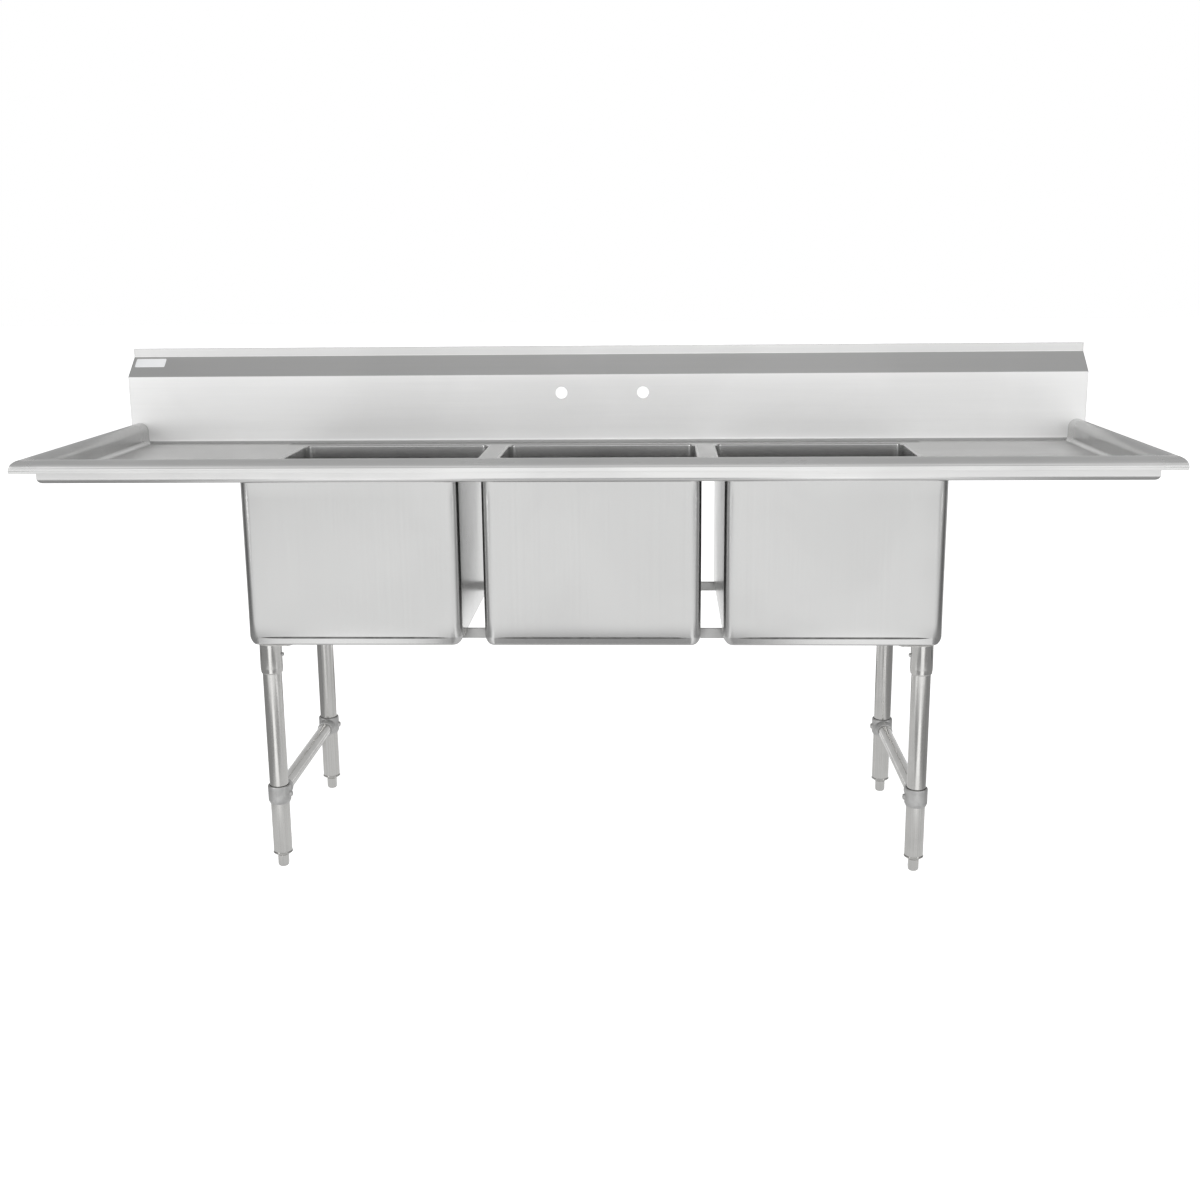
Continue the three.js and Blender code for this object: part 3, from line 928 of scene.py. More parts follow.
class DetailTrees:
    """The geometry trees for what repeats: weld ripples, threads and drilled holes."""

    GRID = 9  # rows of holes across the basket's floor
    ROW = 20  # holes round the basket's wall
    DRILL_SIDES = 10
    DRILL_DEPTH = 0.008
    COIL_STEPS = 20  # stretches in one turn of a thread

    def __init__(self) -> None:
        """Builds every tree."""
        self.bead = self._weld_bead()
        self.thread = self._thread_ridge()
        self.holes = self._drilled_holes()

    @staticmethod
    def _weld_bead() -> bpy.types.NodeTree:
        """Overlapping ripples laid along a path of edges.

        Returns:
            The tree.
        """
        wiring, source, result = start_tree(
            "weld_bead",
            "GeometryNodeTree",
            {
                "Path": SHAPE,
                "Spacing": FLOAT,
                "Width": FLOAT,
                "Seed": "NodeSocketInt",
                "Material": "NodeSocketMaterial",
            },
            {"Bead": SHAPE},
        )
        curve = wiring.add("GeometryNodeMeshToCurve", {"Mesh": source["Path"]})
        dots = wiring.add(
            "GeometryNodeCurveToPoints",
            {"Curve": curve.outputs["Curve"], "Length": source["Spacing"]},
            mode="LENGTH",
        )
        ripple = wiring.add("GeometryNodeMeshIcoSphere", {"Radius": 1.0, "Subdivisions": 1})
        uneven = wiring.add(
            "FunctionNodeRandomValue",
            {"Min": 0.85, "Max": 1.15, "Seed": source["Seed"]},
            data_type="FLOAT",
        )
        half = wiring.math("MULTIPLY", source["Width"], 0.5)
        across = wiring.math("MULTIPLY", half, wiring.socket(uneven.outputs, "Value"))
        size = wiring.add("ShaderNodeCombineXYZ", {"X": across, "Y": across, "Z": half})
        laid = wiring.add(
            "GeometryNodeInstanceOnPoints",
            {
                "Points": dots.outputs["Points"],
                "Instance": ripple.outputs["Mesh"],
                "Rotation": dots.outputs["Rotation"],
                "Scale": size.outputs["Vector"],
            },
        )
        DetailTrees._close(wiring, laid.outputs["Instances"], source, result, "Bead")
        return wiring.tree

    @staticmethod
    def _thread_ridge() -> bpy.types.NodeTree:
        """One ridge that winds up a shank.

        Returns:
            The tree.
        """
        wiring, source, result = start_tree(
            "thread_ridge",
            "GeometryNodeTree",
            {
                "Stock": SHAPE,
                "Radius": FLOAT,
                "Height": FLOAT,
                "Turns": FLOAT,
                "Ridge": FLOAT,
                "Foot": VECTOR,
                "Material": "NodeSocketMaterial",
            },
            {"Threaded": SHAPE},
        )
        coil = wiring.add(
            "GeometryNodeCurveSpiral",
            {
                "Resolution": DetailTrees.COIL_STEPS,
                "Rotations": source["Turns"],
                "Start Radius": source["Radius"],
                "End Radius": source["Radius"],
                "Height": source["Height"],
            },
        )
        tooth = wiring.add(
            "GeometryNodeCurvePrimitiveCircle", {"Resolution": 4, "Radius": source["Ridge"]}
        )
        ridge = wiring.add(
            "GeometryNodeCurveToMesh",
            {"Curve": coil.outputs["Curve"], "Profile Curve": tooth.outputs["Curve"], "Fill Caps": True},
        )
        placed = wiring.add(
            "GeometryNodeTransform",
            {"Geometry": ridge.outputs["Mesh"], "Translation": source["Foot"]},
        )
        both = wiring.add("GeometryNodeJoinGeometry", {"Geometry": source["Stock"]})
        wiring.feed(both.inputs["Geometry"], placed.outputs["Geometry"])
        DetailTrees._close(wiring, both.outputs["Geometry"], source, result, "Threaded", shade=False)
        return wiring.tree

    @staticmethod
    def _drilled_holes() -> bpy.types.NodeTree:
        """Holes in a square pattern inside a round field, and one row of holes round a wall.

        Returns:
            The tree.
        """
        wiring, source, result = start_tree(
            "drilled_holes",
            "GeometryNodeTree",
            {
                "Blank": SHAPE,
                "Field": FLOAT,
                "Hub": FLOAT,
                "Hole": FLOAT,
                "Wall": FLOAT,
                "Floor": VECTOR,
                "Row": VECTOR,
                "Material": "NodeSocketMaterial",
            },
            {"Drilled": SHAPE},
        )
        width = wiring.math("MULTIPLY", source["Field"], 2.0)
        count = DetailTrees.GRID
        grid = wiring.add(
            "GeometryNodeMeshGrid",
            {"Size X": width, "Size Y": width, "Vertices X": count, "Vertices Y": count},
        )
        out = wiring.vector_math("LENGTH", wiring.add("GeometryNodeInputPosition").outputs["Position"])
        past = wiring.math("GREATER_THAN", out, source["Field"])
        inside = wiring.math("LESS_THAN", out, source["Hub"])
        kept = wiring.add(
            "GeometryNodeDeleteGeometry",
            {"Geometry": grid.outputs["Mesh"], "Selection": wiring.math("MAXIMUM", past, inside)},
            domain="POINT",
        )
        drill = wiring.add(
            "GeometryNodeMeshCylinder",
            {
                "Vertices": DetailTrees.DRILL_SIDES,
                "Radius": source["Hole"],
                "Depth": DetailTrees.DRILL_DEPTH,
            },
        )
        down = wiring.add(
            "GeometryNodeInstanceOnPoints",
            {"Points": kept.outputs["Geometry"], "Instance": drill.outputs["Mesh"]},
        )
        floor = wiring.add(
            "GeometryNodeTransform",
            {"Geometry": down.outputs["Instances"], "Translation": source["Floor"]},
        )
        row = {"Vertices": DetailTrees.ROW, "Radius": source["Wall"]}
        rim = wiring.add("GeometryNodeMeshCircle", row)
        outwards = wiring.add("GeometryNodeInputPosition").outputs["Position"]
        lean = wiring.add("FunctionNodeAlignRotationToVector", {"Vector": outwards}, axis="Z")
        round_wall = wiring.add(
            "GeometryNodeInstanceOnPoints",
            {
                "Points": rim.outputs["Mesh"],
                "Instance": drill.outputs["Mesh"],
                "Rotation": lean.outputs["Rotation"],
            },
        )
        row = wiring.add(
            "GeometryNodeTransform",
            {"Geometry": round_wall.outputs["Instances"], "Translation": source["Row"]},
        )
        drills = wiring.add("GeometryNodeJoinGeometry", {"Geometry": floor.outputs["Geometry"]})
        wiring.feed(drills.inputs["Geometry"], row.outputs["Geometry"])
        solid = wiring.add("GeometryNodeRealizeInstances", {"Geometry": drills.outputs["Geometry"]})
        cut = wiring.add(
            "GeometryNodeMeshBoolean",
            {"Mesh 1": source["Blank"], "Mesh 2": solid.outputs["Geometry"]},
            operation="DIFFERENCE",
        )
        DetailTrees._close(wiring, cut.outputs["Mesh"], source, result, "Drilled", shade=False)
        return wiring.tree

    @staticmethod
    def _close(
        wiring: Wiring, made: Any, source: Any, result: Any, name: str, shade: bool = True
    ) -> None:
        """Ends a tree in real geometry with its material.

        Args:
            wiring: The tree's wiring.
            made: The geometry so far.
            source: The sockets that come into the tree.
            result: The sockets that go out of it.
            name: The output's name.
            shade: Whether the whole result is shaded smooth.
        """
        real = wiring.add("GeometryNodeRealizeInstances", {"Geometry": made}).outputs["Geometry"]
        if shade:
            real = wiring.add("GeometryNodeSetShadeSmooth", {"Geometry": real}).outputs["Geometry"]
        dressed = wiring.add(
            "GeometryNodeSetMaterial", {"Geometry": real, "Material": source["Material"]}
        )
        wiring.feed(result[name], dressed.outputs["Geometry"])


def run_tree(
    piece: bpy.types.Object, tree: bpy.types.NodeTree, values: dict[str, Any]
) -> bpy.types.Object:
    """Runs a geometry tree on a piece and keeps the result as its plain mesh.

    Args:
        piece: The object that the tree starts from.
        tree: The geometry tree.
        values: Its inputs by name.

    Returns:
        The piece.
    """
    step = piece.modifiers.new(tree.name, "NODES")
    step.node_group = tree
    for socket in tree.interface.items_tree:
        if socket.item_type == "SOCKET" and socket.in_out == "INPUT" and socket.name in values:
            step[socket.identifier] = values[socket.name]
    return settle(piece)


# ---- the workshop: makes, dresses and mounts pieces ----


RIPPLE_SPACING = 0.42  # from one ripple to the next, as a share of the bead's width
RIPPLE_SEED = 7


class Workshop:
    """Gives pieces their finish and their place in the frame, and keeps count of them."""

    def __init__(self) -> None:
        """Opens the paint box and the detail trees."""
        self.paint = Paintbox()
        self.details = DetailTrees()
        self.count = 0

    def fit(
        self,
        piece: bpy.types.Object,
        finish: SteelFinish | RubberFinish,
        stands_for: Sequence[str] = (),
        body: str = Body.FRAME.value,
    ) -> bpy.types.Object:
        """Dresses a piece, mounts it on its body and hides the CAD nodes that it stands for.

        Args:
            piece: The finished object.
            finish: What it is made of.
            stands_for: The CAD nodes that it replaces.
            body: The body that it rides on.

        Returns:
            The piece.
        """
        piece.data.materials.clear()
        piece.data.materials.append(self.paint.material(finish))
        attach(piece, body)
        if stands_for:
            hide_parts(*stands_for)
        self.count += 1
        log.info("%-28s %6d faces on %s", piece.name, len(piece.data.polygons), body)
        return piece

    def weld(self, name: str, path: Sequence[Vector], closed: bool, width: float) -> None:
        """Lays a weld bead along a path.

        Args:
            name: The bead's name.
            path: The points that it follows.
            closed: Whether it joins its start.
            width: How wide it is.
        """
        count = len(path)
        edges = [(i, (i + 1) % count) for i in range(count if closed else count - 1)]
        mesh = bpy.data.meshes.new(name)
        mesh.from_pydata(list(path), edges, [])
        bead = bpy.data.objects.new(name, mesh)
        bpy.context.scene.collection.objects.link(bead)
        values = {
            "Spacing": width * RIPPLE_SPACING,
            "Width": width,
            "Seed": RIPPLE_SEED,
            "Material": self.paint.material(WELD_METAL),
        }
        run_tree(bead, self.details.bead, values)
        self.fit(bead, WELD_METAL)


# ---- what the frame says ----


@dataclass
class Layout:
    """The sink's main places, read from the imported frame."""

    half_length: float = field(init=False)
    front: float = field(init=False)
    wall: float = field(init=False)
    splash_face: float = field(init=False)
    deck_top: float = field(init=False)
    sheet: float = field(init=False)
    rim_top: float = field(init=False)
    top: float = field(init=False)

    def __post_init__(self) -> None:
        """Reads the boxes of the deck and the backsplash."""
        rim_low, rim_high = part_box("rolled_rim")
        deck_low, deck_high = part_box("bowl_deck")
        end_low, end_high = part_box("backsplash_right_end")
        self.half_length = rim_high.x
        self.front = rim_low.y
        self.rim_top = rim_high.z
        self.deck_top = deck_high.z
        self.sheet = deck_high.z - deck_low.z
        self.splash_face = end_low.y
        self.wall = end_high.y
        self.top = end_high.z


LAYOUT = Layout()
BOWLS = ("left", "centre", "right")
BOWL_SHEET_GAUGE = 0.0015
BOWL_LIP, BOWL_CORNER = 0.005, 0.022  # the bend round a bowl's mouth, and the bowl's upright corners
CORNER_STEPS, SIDE_POINTS = 14, 11  # points round a bowl's corner and along its side
SHEET_GAP = 0.0003  # between the rim and the backsplash

RIM_CORNER = (LAYOUT.half_length - 0.02, LAYOUT.front + 0.02, LAYOUT.rim_top - 0.01)
RIM_AT_SPLASH = (LAYOUT.half_length - 0.03, LAYOUT.splash_face, LAYOUT.rim_top - 0.02)

SLOPE_LOW, SLOPE_HIGH = 1.050, 1.096
LEDGE_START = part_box("bowl_centre_back_panel")[1].y
LEDGE_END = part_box("bowl_right_wrap")[1].x
# Painted shade: darkens the colour of the backsplash's slope.
SLOPE_SHADE = Shade(
    low=(-LAYOUT.half_length, LAYOUT.splash_face - 0.01, SLOPE_LOW - 0.0010),
    high=(LAYOUT.half_length, LAYOUT.wall, SLOPE_HIGH + 0.0010),
    soft=0.0015,
    amount=0.50,
)
RIM_IN = LAYOUT.half_length - 0.050
RIM_OUT = LAYOUT.half_length + 0.01
# Painted shade: darkens the colour of both side rims.
SIDE_RIM_SHADES = tuple(
    Shade(
        low=(near, LAYOUT.front + 0.04, LAYOUT.deck_top),
        high=(far, LAYOUT.wall, LAYOUT.rim_top + 0.01),
        soft=0.008,
        amount=0.26,
    )
    for near, far in ((-RIM_OUT, -RIM_IN), (RIM_IN, RIM_OUT))
)
# Painted shade: a thin dark line across the front of the rolled rim, where its shape has no bend.
ROLL_SHADE_LINE = Shade(
    low=(-LAYOUT.half_length, LAYOUT.front - 0.01, LAYOUT.rim_top - 0.0177),
    high=(LAYOUT.half_length, LAYOUT.front + 0.02, LAYOUT.rim_top - 0.0149),
    soft=0.0009,
    amount=0.35,
)
# Painted shade: darkens the colour of the backsplash's lip and hem.
LIP_SHADE = Shade(
    low=(-LAYOUT.half_length, LAYOUT.splash_face, SLOPE_HIGH + 0.0010),
    high=(LAYOUT.half_length, LAYOUT.wall + 0.01, LAYOUT.top + 0.01),
    soft=0.0010,
    amount=0.17,
)
# Painted shade: darkens the colour along the cove at the foot of the backsplash.
COVE_SHADE = Shade(
    low=(-LAYOUT.half_length, LAYOUT.splash_face - 0.03, LAYOUT.deck_top - 0.01),
    high=(LAYOUT.half_length, LAYOUT.splash_face + 0.01, LAYOUT.deck_top + 0.0065),
    soft=0.0025,
    amount=0.55,
)
# Painted shade: darkens the deck's colour on the ledge behind the bowls.
LEDGE_SHADE = Shade(
    low=(-LEDGE_END - 0.05, LEDGE_START - 0.004, LAYOUT.deck_top - 0.01),
    high=(LEDGE_END + 0.05, LAYOUT.splash_face + 0.01, LAYOUT.deck_top + 0.01),
    soft=0.010,
    amount=0.42,
)

SATIN_SHEET = SteelFinish(
    name="satin_sheet", slot="satin_sheet", tint=(0.76, 0.76, 0.755), roughness=0.28,
    grain=Grain.ALONG_SINK, buckle_depth=0.0022,
    welds=((*RIM_CORNER, 0.05), (*RIM_AT_SPLASH, 0.07)), shades=(*SIDE_RIM_SHADES, ROLL_SHADE_LINE),
)
DECK_SHEET = SteelFinish(
    name="satin_deck", slot="satin_sheet", tint=(0.60, 0.60, 0.596), roughness=0.30,
    grain=Grain.ALONG_SINK, grain_contrast=0.13, buckle_depth=0.0022, shades=(LEDGE_SHADE,),
)
SPLASH_SHEET = SteelFinish(
    name="satin_backsplash", slot="satin_sheet", tint=(0.90, 0.90, 0.895), metallic=0.50,
    roughness=0.45, grain=Grain.ALONG_SINK, grain_contrast=0.05, patch_contrast=0.03,
    buckle_depth=0.0010, buckle_wave=0.5, welds=((*RIM_AT_SPLASH, 0.07),),
    shades=(SLOPE_SHADE, LIP_SHADE, COVE_SHADE), dust=0.0,
)
BOWL_SHEET = SteelFinish(
    name="satin_bowl", slot="bowl_sheet", tint=(0.60, 0.60, 0.596), roughness=0.24,
    grain=Grain.UPRIGHT, grain_contrast=0.04, grain_depth=0.000008, patch_contrast=0.03,
    buckle_depth=0.0012, buckle_wave=0.4,
)
TUBE_STEEL = SteelFinish(
    name="drawn_tube", slot="leg_tube", tint=(0.66, 0.655, 0.64), roughness=0.17,
    grain=Grain.UPRIGHT, grain_contrast=0.22, patch_size=0.06,
)
RAIL_STEEL = SteelFinish(
    name="drawn_rail", slot="leg_tube", tint=(0.70, 0.695, 0.68), roughness=0.20,
    grain=Grain.FRONT_TO_BACK, grain_contrast=0.22, patch_size=0.06,
)
BAR_STEEL = SteelFinish(
    name="mill_bar", slot="leg_tube", tint=(0.44, 0.44, 0.435), roughness=0.34,
    grain=Grain.ALONG_SINK, grain_contrast=0.16, patch_size=0.03,
)
CAST_METAL = SteelFinish(
    name="cast_fitting", slot="cast_fitting", tint=(0.60, 0.60, 0.595), roughness=0.48,
    grain=Grain.CAST, grain_contrast=0.16, grain_depth=0.00035, patch_size=0.02,
    patch_contrast=0.12,
)
BRIGHT_STEEL = SteelFinish(
    name="bright_drain", slot="bright_drain", tint=(0.86, 0.86, 0.85), roughness=0.12,
    grain=Grain.ALONG_SINK, grain_contrast=0.04, grain_depth=0.000005, patch_size=0.03,
    patch_contrast=0.05,
)
WELD_METAL = SteelFinish(
    name="weld_metal", slot="leg_tube", tint=(0.62, 0.61, 0.59), roughness=0.30, grain=Grain.CAST,
    grain_contrast=0.1, patch_size=0.01, patch_contrast=0.2,
)
# A dark strip along the bowls' end seams: the seam is real, its dark colour is painted shadow of the
# groove there.
SEAM_SHADOW_METAL = SteelFinish(
    name="seam_shadow_metal", slot="bowl_sheet", tint=(0.20, 0.20, 0.195), roughness=0.42,
    grain=Grain.CAST, grain_contrast=0.2, patch_size=0.02, patch_contrast=0.25,
)
PLATE_FOIL = SteelFinish(
    name="plate_foil", slot="satin_sheet", tint=(0.93, 0.94, 0.95), roughness=0.55,
    grain=Grain.ALONG_SINK, grain_contrast=0.03, patch_contrast=0.03, metallic=0.0,
)
BLACK_RUBBER = RubberFinish(name="black_rubber", slot="gasket")


# ---- the deck ----


@dataclass
class Deck:
    """The press-braked top: its rolled rim and the sheet round the bowls."""

    shop: Workshop
    roll_radius: float = 0.021
    cove_radius: float = 0.010
    tip_turn: float = 196.0
    lip_radius: float = BOWL_LIP
    corner_radius: float = BOWL_CORNER
    station_gap: float = 0.06

    @property
    def rim_depth(self) -> float:
        """How far in from the outside the rim's cove ends."""
        return 2 * self.roll_radius + self.cove_radius

    def build(self) -> None:
        """Builds the rim and the sheet."""
        self._rim()
        self._sheet()

    def _section(self) -> list[Point2]:
        """The rim's closed section, as distance in from the outside and height.

        Returns:
            The section's points.
        """
        sheet = LAYOUT.sheet
        roll = (self.roll_radius, LAYOUT.rim_top - self.roll_radius)
        cove = (self.rim_depth, LAYOUT.deck_top + self.cove_radius)
        outer = [
            *arc(cove, self.cove_radius, 270, 180, 10),
            *arc(roll, self.roll_radius, 0, self.tip_turn, 40),
        ]
        inner = [
            *arc(roll, self.roll_radius - sheet, self.tip_turn, 0, 40),
            *arc(cove, self.cove_radius + sheet, 180, 270, 10),
        ]
        return [*outer, *inner]

    def _stations(self) -> list[tuple[Point2, Point2]]:
        """The rim's path round the sink: points on its outside, each with the way in from there.

        Returns:
            The stations, from the left side's back end to the right side's.
        """
        side, front = LAYOUT.half_length, LAYOUT.front
        back = LAYOUT.splash_face - SHEET_GAP
        runs = int((back - front) / self.station_gap)
        left = [((-side, back + (front - back) * i / runs), (1.0, 0.0)) for i in range(runs)]
        across = int(2 * side / self.station_gap)
        ahead = [((-side + 2 * side * i / across, front), (0.0, 1.0)) for i in range(1, across)]
        right = [((side, front + (back - front) * (i + 1) / runs), (-1.0, 0.0)) for i in range(runs)]
        corners = [((-side, front), (1.0, 1.0)), ((side, front), (-1.0, 1.0))]
        return [*left, corners[0], *ahead, corners[1], *right]

    def _rim(self) -> None:
        """Sweeps the rim's section round the sink."""
        section = self._section()
        rings = [
            [Vector((x + dx * inward, y + dy * inward, z)) for inward, z in section]
            for (x, y), (dx, dy) in self._stations()
        ]
        rim = Shape().loft(rings).into_object("rim_roll", 40)
        self.shop.fit(rim, SATIN_SHEET, ["rolled_rim"])

    def _sheet(self) -> None:
        """Lays the deck sheet, with a mouth for each bowl."""
        out_x = LAYOUT.half_length - self.rim_depth
        front = LAYOUT.front + self.rim_depth
        back = LAYOUT.splash_face - 0.010
        outline = [(out_x, front), (out_x, back), (-out_x, back), (-out_x, front)]
        outlines: list[list[Point2]] = [outline]
        for side in BOWLS:
            low, high = bowl_box(side)
            centre = (low + high) / 2
            half_x = (high.x - low.x) / 2 - LAYOUT.sheet + self.lip_radius
            half_y = (high.y - low.y) / 2 - LAYOUT.sheet + self.lip_radius
            corner = self.corner_radius + self.lip_radius
            mouth = rounded_rectangle(half_x, half_y, corner, CORNER_STEPS, SIDE_POINTS)
            outlines.append([(centre.x + x, centre.y + y) for x, y in reversed(mouth)])
        top = LAYOUT.deck_top
        sheet = Shape().plate(outlines, top - LAYOUT.sheet, top, Matrix()).into_object("deck_sheet")
        nodes = ["bowl_deck", "left_drainboard", "right_drainboard"]
        self.shop.fit(sheet, DECK_SHEET, nodes)


def bowl_box(side: str) -> tuple[Vector, Vector]:
    """A whole bowl's lowest and highest corners.

    Args:
        side: Which bowl.

    Returns:
        The two corners, over its wrap and both panels.
    """
    boxes = [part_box(f"bowl_{side}_{part}") for part in ("wrap", "front_panel", "back_panel")]
    low = Vector(min(b[0][i] for b in boxes) for i in range(3))
    high = Vector(max(b[1][i] for b in boxes) for i in range(3))
    return low, high


# ---- the backsplash ----


@dataclass
class Backsplash:
    """The boxed backsplash: cove, face, slope, lip and folded hem, with two end plates."""

    shop: Workshop
    cove_radius: float = 0.010
    bend_radius: float = 0.0035
    break_height: float = SLOPE_LOW
    lip_height: float = SLOPE_HIGH
    hem: float = 0.0032
    hem_drop: float = 0.014
    swell: float = 0.0009
    station_gap: float = 0.045
    rim_depth: float = 2 * Deck.roll_radius + Deck.cove_radius + SHEET_GAP
    plate_length: float = 0.076
    plate_width: float = 0.030
    plate_margin: float = 0.007
    plate_share: float = 0.70
    plate_corner: float = 0.003
    faucet_hole: float = 0.0143
    drill_start: float = 0.02
    tab_rise: float = 0.004
    reach: float = field(init=False)

    def build(self) -> None:
        """Builds the folded sheet, its ends and its blank plate."""
        self.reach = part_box("backsplash")[1].x
        self._sheet()
        for side in ("left", "right"):
            self._end(side)
        self._nameplate()

    def _nameplate(self) -> None:
        """Sticks a blank foil plate on the slope, at its left end."""
        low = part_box("backsplash")[0]
        foot = Vector((0.0, LAYOUT.splash_face, self.break_height))
        head = Vector((0.0, LAYOUT.wall - self.hem, self.lip_height))
        up = (head - foot).normalized()
        across = Vector((1.0, 0.0, 0.0))
        inwards = low.x + self.plate_margin + self.plate_length / 2
        centre = foot.lerp(head, self.plate_share) + across * inwards
        place = Matrix((across, up, across.cross(up))).transposed().to_4x4()
        edge = rounded_rectangle(self.plate_length / 2, self.plate_width / 2, self.plate_corner, 6, 2)
        plate = Shape().plate([edge], -0.0001, 0.0004, Matrix.Translation(centre) @ place)
        piece = round_edges(plate.into_object("blank_nameplate"), 0.0001)
        self.shop.fit(piece, PLATE_FOIL)

    def _section(self) -> list[Point2]:
        """The folded sheet's closed section, in Y and Z.

        Returns:
            The section's points.
        """
        face, sheet = LAYOUT.splash_face, LAYOUT.sheet
        lip = LAYOUT.wall - self.hem
        hollow = (face - self.cove_radius, LAYOUT.deck_top + self.cove_radius)
        foot = arc(hollow, self.cove_radius, 270, 360, 8)
        bends = folded_line(
            [
                foot[-1],
                (face, self.break_height),
                (lip, self.lip_height),
                (lip, LAYOUT.top - self.hem / 2),
            ],
            [self.bend_radius, self.bend_radius],
        )
        rise = [(face, foot[-1][1] + (self.break_height - foot[-1][1]) * i / 6) for i in range(1, 6)]
        front = [*foot, *rise, *bends[1:]]
        fold = arc((lip + self.hem / 2, LAYOUT.top - self.hem / 2), self.hem / 2, 180, 0, 8)[1:]
        below = [(LAYOUT.wall, LAYOUT.top - self.hem_drop), (lip + sheet, LAYOUT.top - self.hem_drop)]
        back = list(reversed(set_off(front, sheet)))[1:]
        return [*front, *fold, *below, *back]

    def _wave(self, x: float, z: float) -> float:
        """How far the sheet stands off flat at a point of its face.

        Args:
            x: Along the sink.
            z: Height.

        Returns:
            The offset, nothing along the folds.
        """
        up = (z - LAYOUT.deck_top) / (self.break_height - LAYOUT.deck_top)
        if not 0 < up < 1:
            return 0.0
        along = math.sin(2.3 * x + 0.4) + 0.6 * math.sin(5.1 * x + 1.7)
        along *= max(0.0, 1 - (x / self.reach) ** 6)
        return self.swell * math.sin(math.pi * up) * along

    def _sheet(self) -> None:
        """Runs the section along the sink, drills the faucet holes and clears the rim's ends."""
        low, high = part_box("backsplash")
        count = round((high.x - low.x) / self.station_gap)
        section = self._section()
        rings = []
        for i in range(count + 1):
            x = low.x + (high.x - low.x) * i / count
            rings.append([Vector((x, y + self._wave(x, z), z)) for y, z in section])
        sheet = Shape().loft(rings).into_object("splash_sheet", 30)
        tools = [self._drill(mount) for mount in (-1, 1)]
        tools += [self._clearance(sign) for sign in (-1, 1)]
        combine(sheet, tools, Cut.AWAY)
        combine(sheet, [self._tab(sign, high.x) for sign in (-1, 1)], Cut.TOGETHER)
        smooth(sheet, 30)
        self.shop.fit(sheet, SPLASH_SHEET, ["backsplash"])

    def _tab(self, sign: int, far: float) -> bpy.types.Object:
        """The tab that closes the face behind the rim's end.

        Args:
            sign: -1 for the left end and 1 for the right one.
            far: How far out the sheet goes.

        Returns:
            The tab.
        """
        near, face = LAYOUT.half_length - self.rim_depth - self.tab_rise, LAYOUT.splash_face
        corners = [(near, 0.0001), (far - 0.0001, 0.0001), (far - 0.0001, 0.0011), (near, 0.0011)]
        outline = [(sign * x, face + y) for x, y in corners]
        low, high = LAYOUT.deck_top - 0.001, LAYOUT.deck_top + self.cove_radius + self.tab_rise
        return Shape().plate([outline], low, high, Matrix()).into_object("tab")

    def _drill(self, sign: int) -> bpy.types.Object:
        """A drill for one faucet hole, as wide and as placed as the opening in the record.

        Args:
            sign: -1 for the left hole and 1 for the right one.

        Returns:
            The drill.
        """
        name = "faucet_hole_left" if sign < 0 else "faucet_hole_right"
        spaces = frame["record"]["physics"]["openings"]
        low, high = (Vector(corner) for corner in next(s["box_m"] for s in spaces if s["name"] == name))
        centre = (low + high) / 2
        start = Vector((centre.x, LAYOUT.splash_face - self.drill_start, centre.z))
        place = axis_place(start, Vector((0, 1, 0)))
        drill = rod(self.faucet_hole, 0, 2 * self.drill_start)
        return Shape().turn(drill, place, 64).into_object("drill")

    def _clearance(self, sign: int) -> bpy.types.Object:
        """The space that the rim's cove takes at one end.

        Args:
            sign: -1 for the left end and 1 for the right one.

        Returns:
            A block to cut away.
        """
        near, far = LAYOUT.half_length - self.rim_depth, LAYOUT.half_length
        corners = [(near, -0.02), (far, -0.02), (far, 0.005), (near, 0.005)]
        outline = [(sign * x, LAYOUT.splash_face + y) for x, y in corners]
        high = LAYOUT.deck_top + self.cove_radius
        return Shape().plate([outline], LAYOUT.deck_top - 0.01, high, Matrix()).into_object("clearance")

    def _end(self, side: str) -> None:
        """Closes one end of the backsplash.

        Args:
            side: Which end.
        """
        node = f"backsplash_{side}_end"
        low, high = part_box(node)
        lip = high.y - self.hem
        corners = [
            (low.y, low.z),
            (high.y, low.z),
            (high.y, high.z - 0.001),
            (high.y - 0.001, high.z),
            (lip, high.z),
            (lip, self.lip_height),
            (low.y, self.break_height),
        ]
        stand = Matrix(((0, 0, 1, 0), (1, 0, 0, 0), (0, 1, 0, 0), (0, 0, 0, 1)))
        plate = Shape().plate([corners], low.x, high.x, stand).into_object(f"splash_end_{side}")
        round_edges(plate, 0.0004)
        self.shop.fit(plate, SPLASH_SHEET, [node])


# ---- the bowls ----


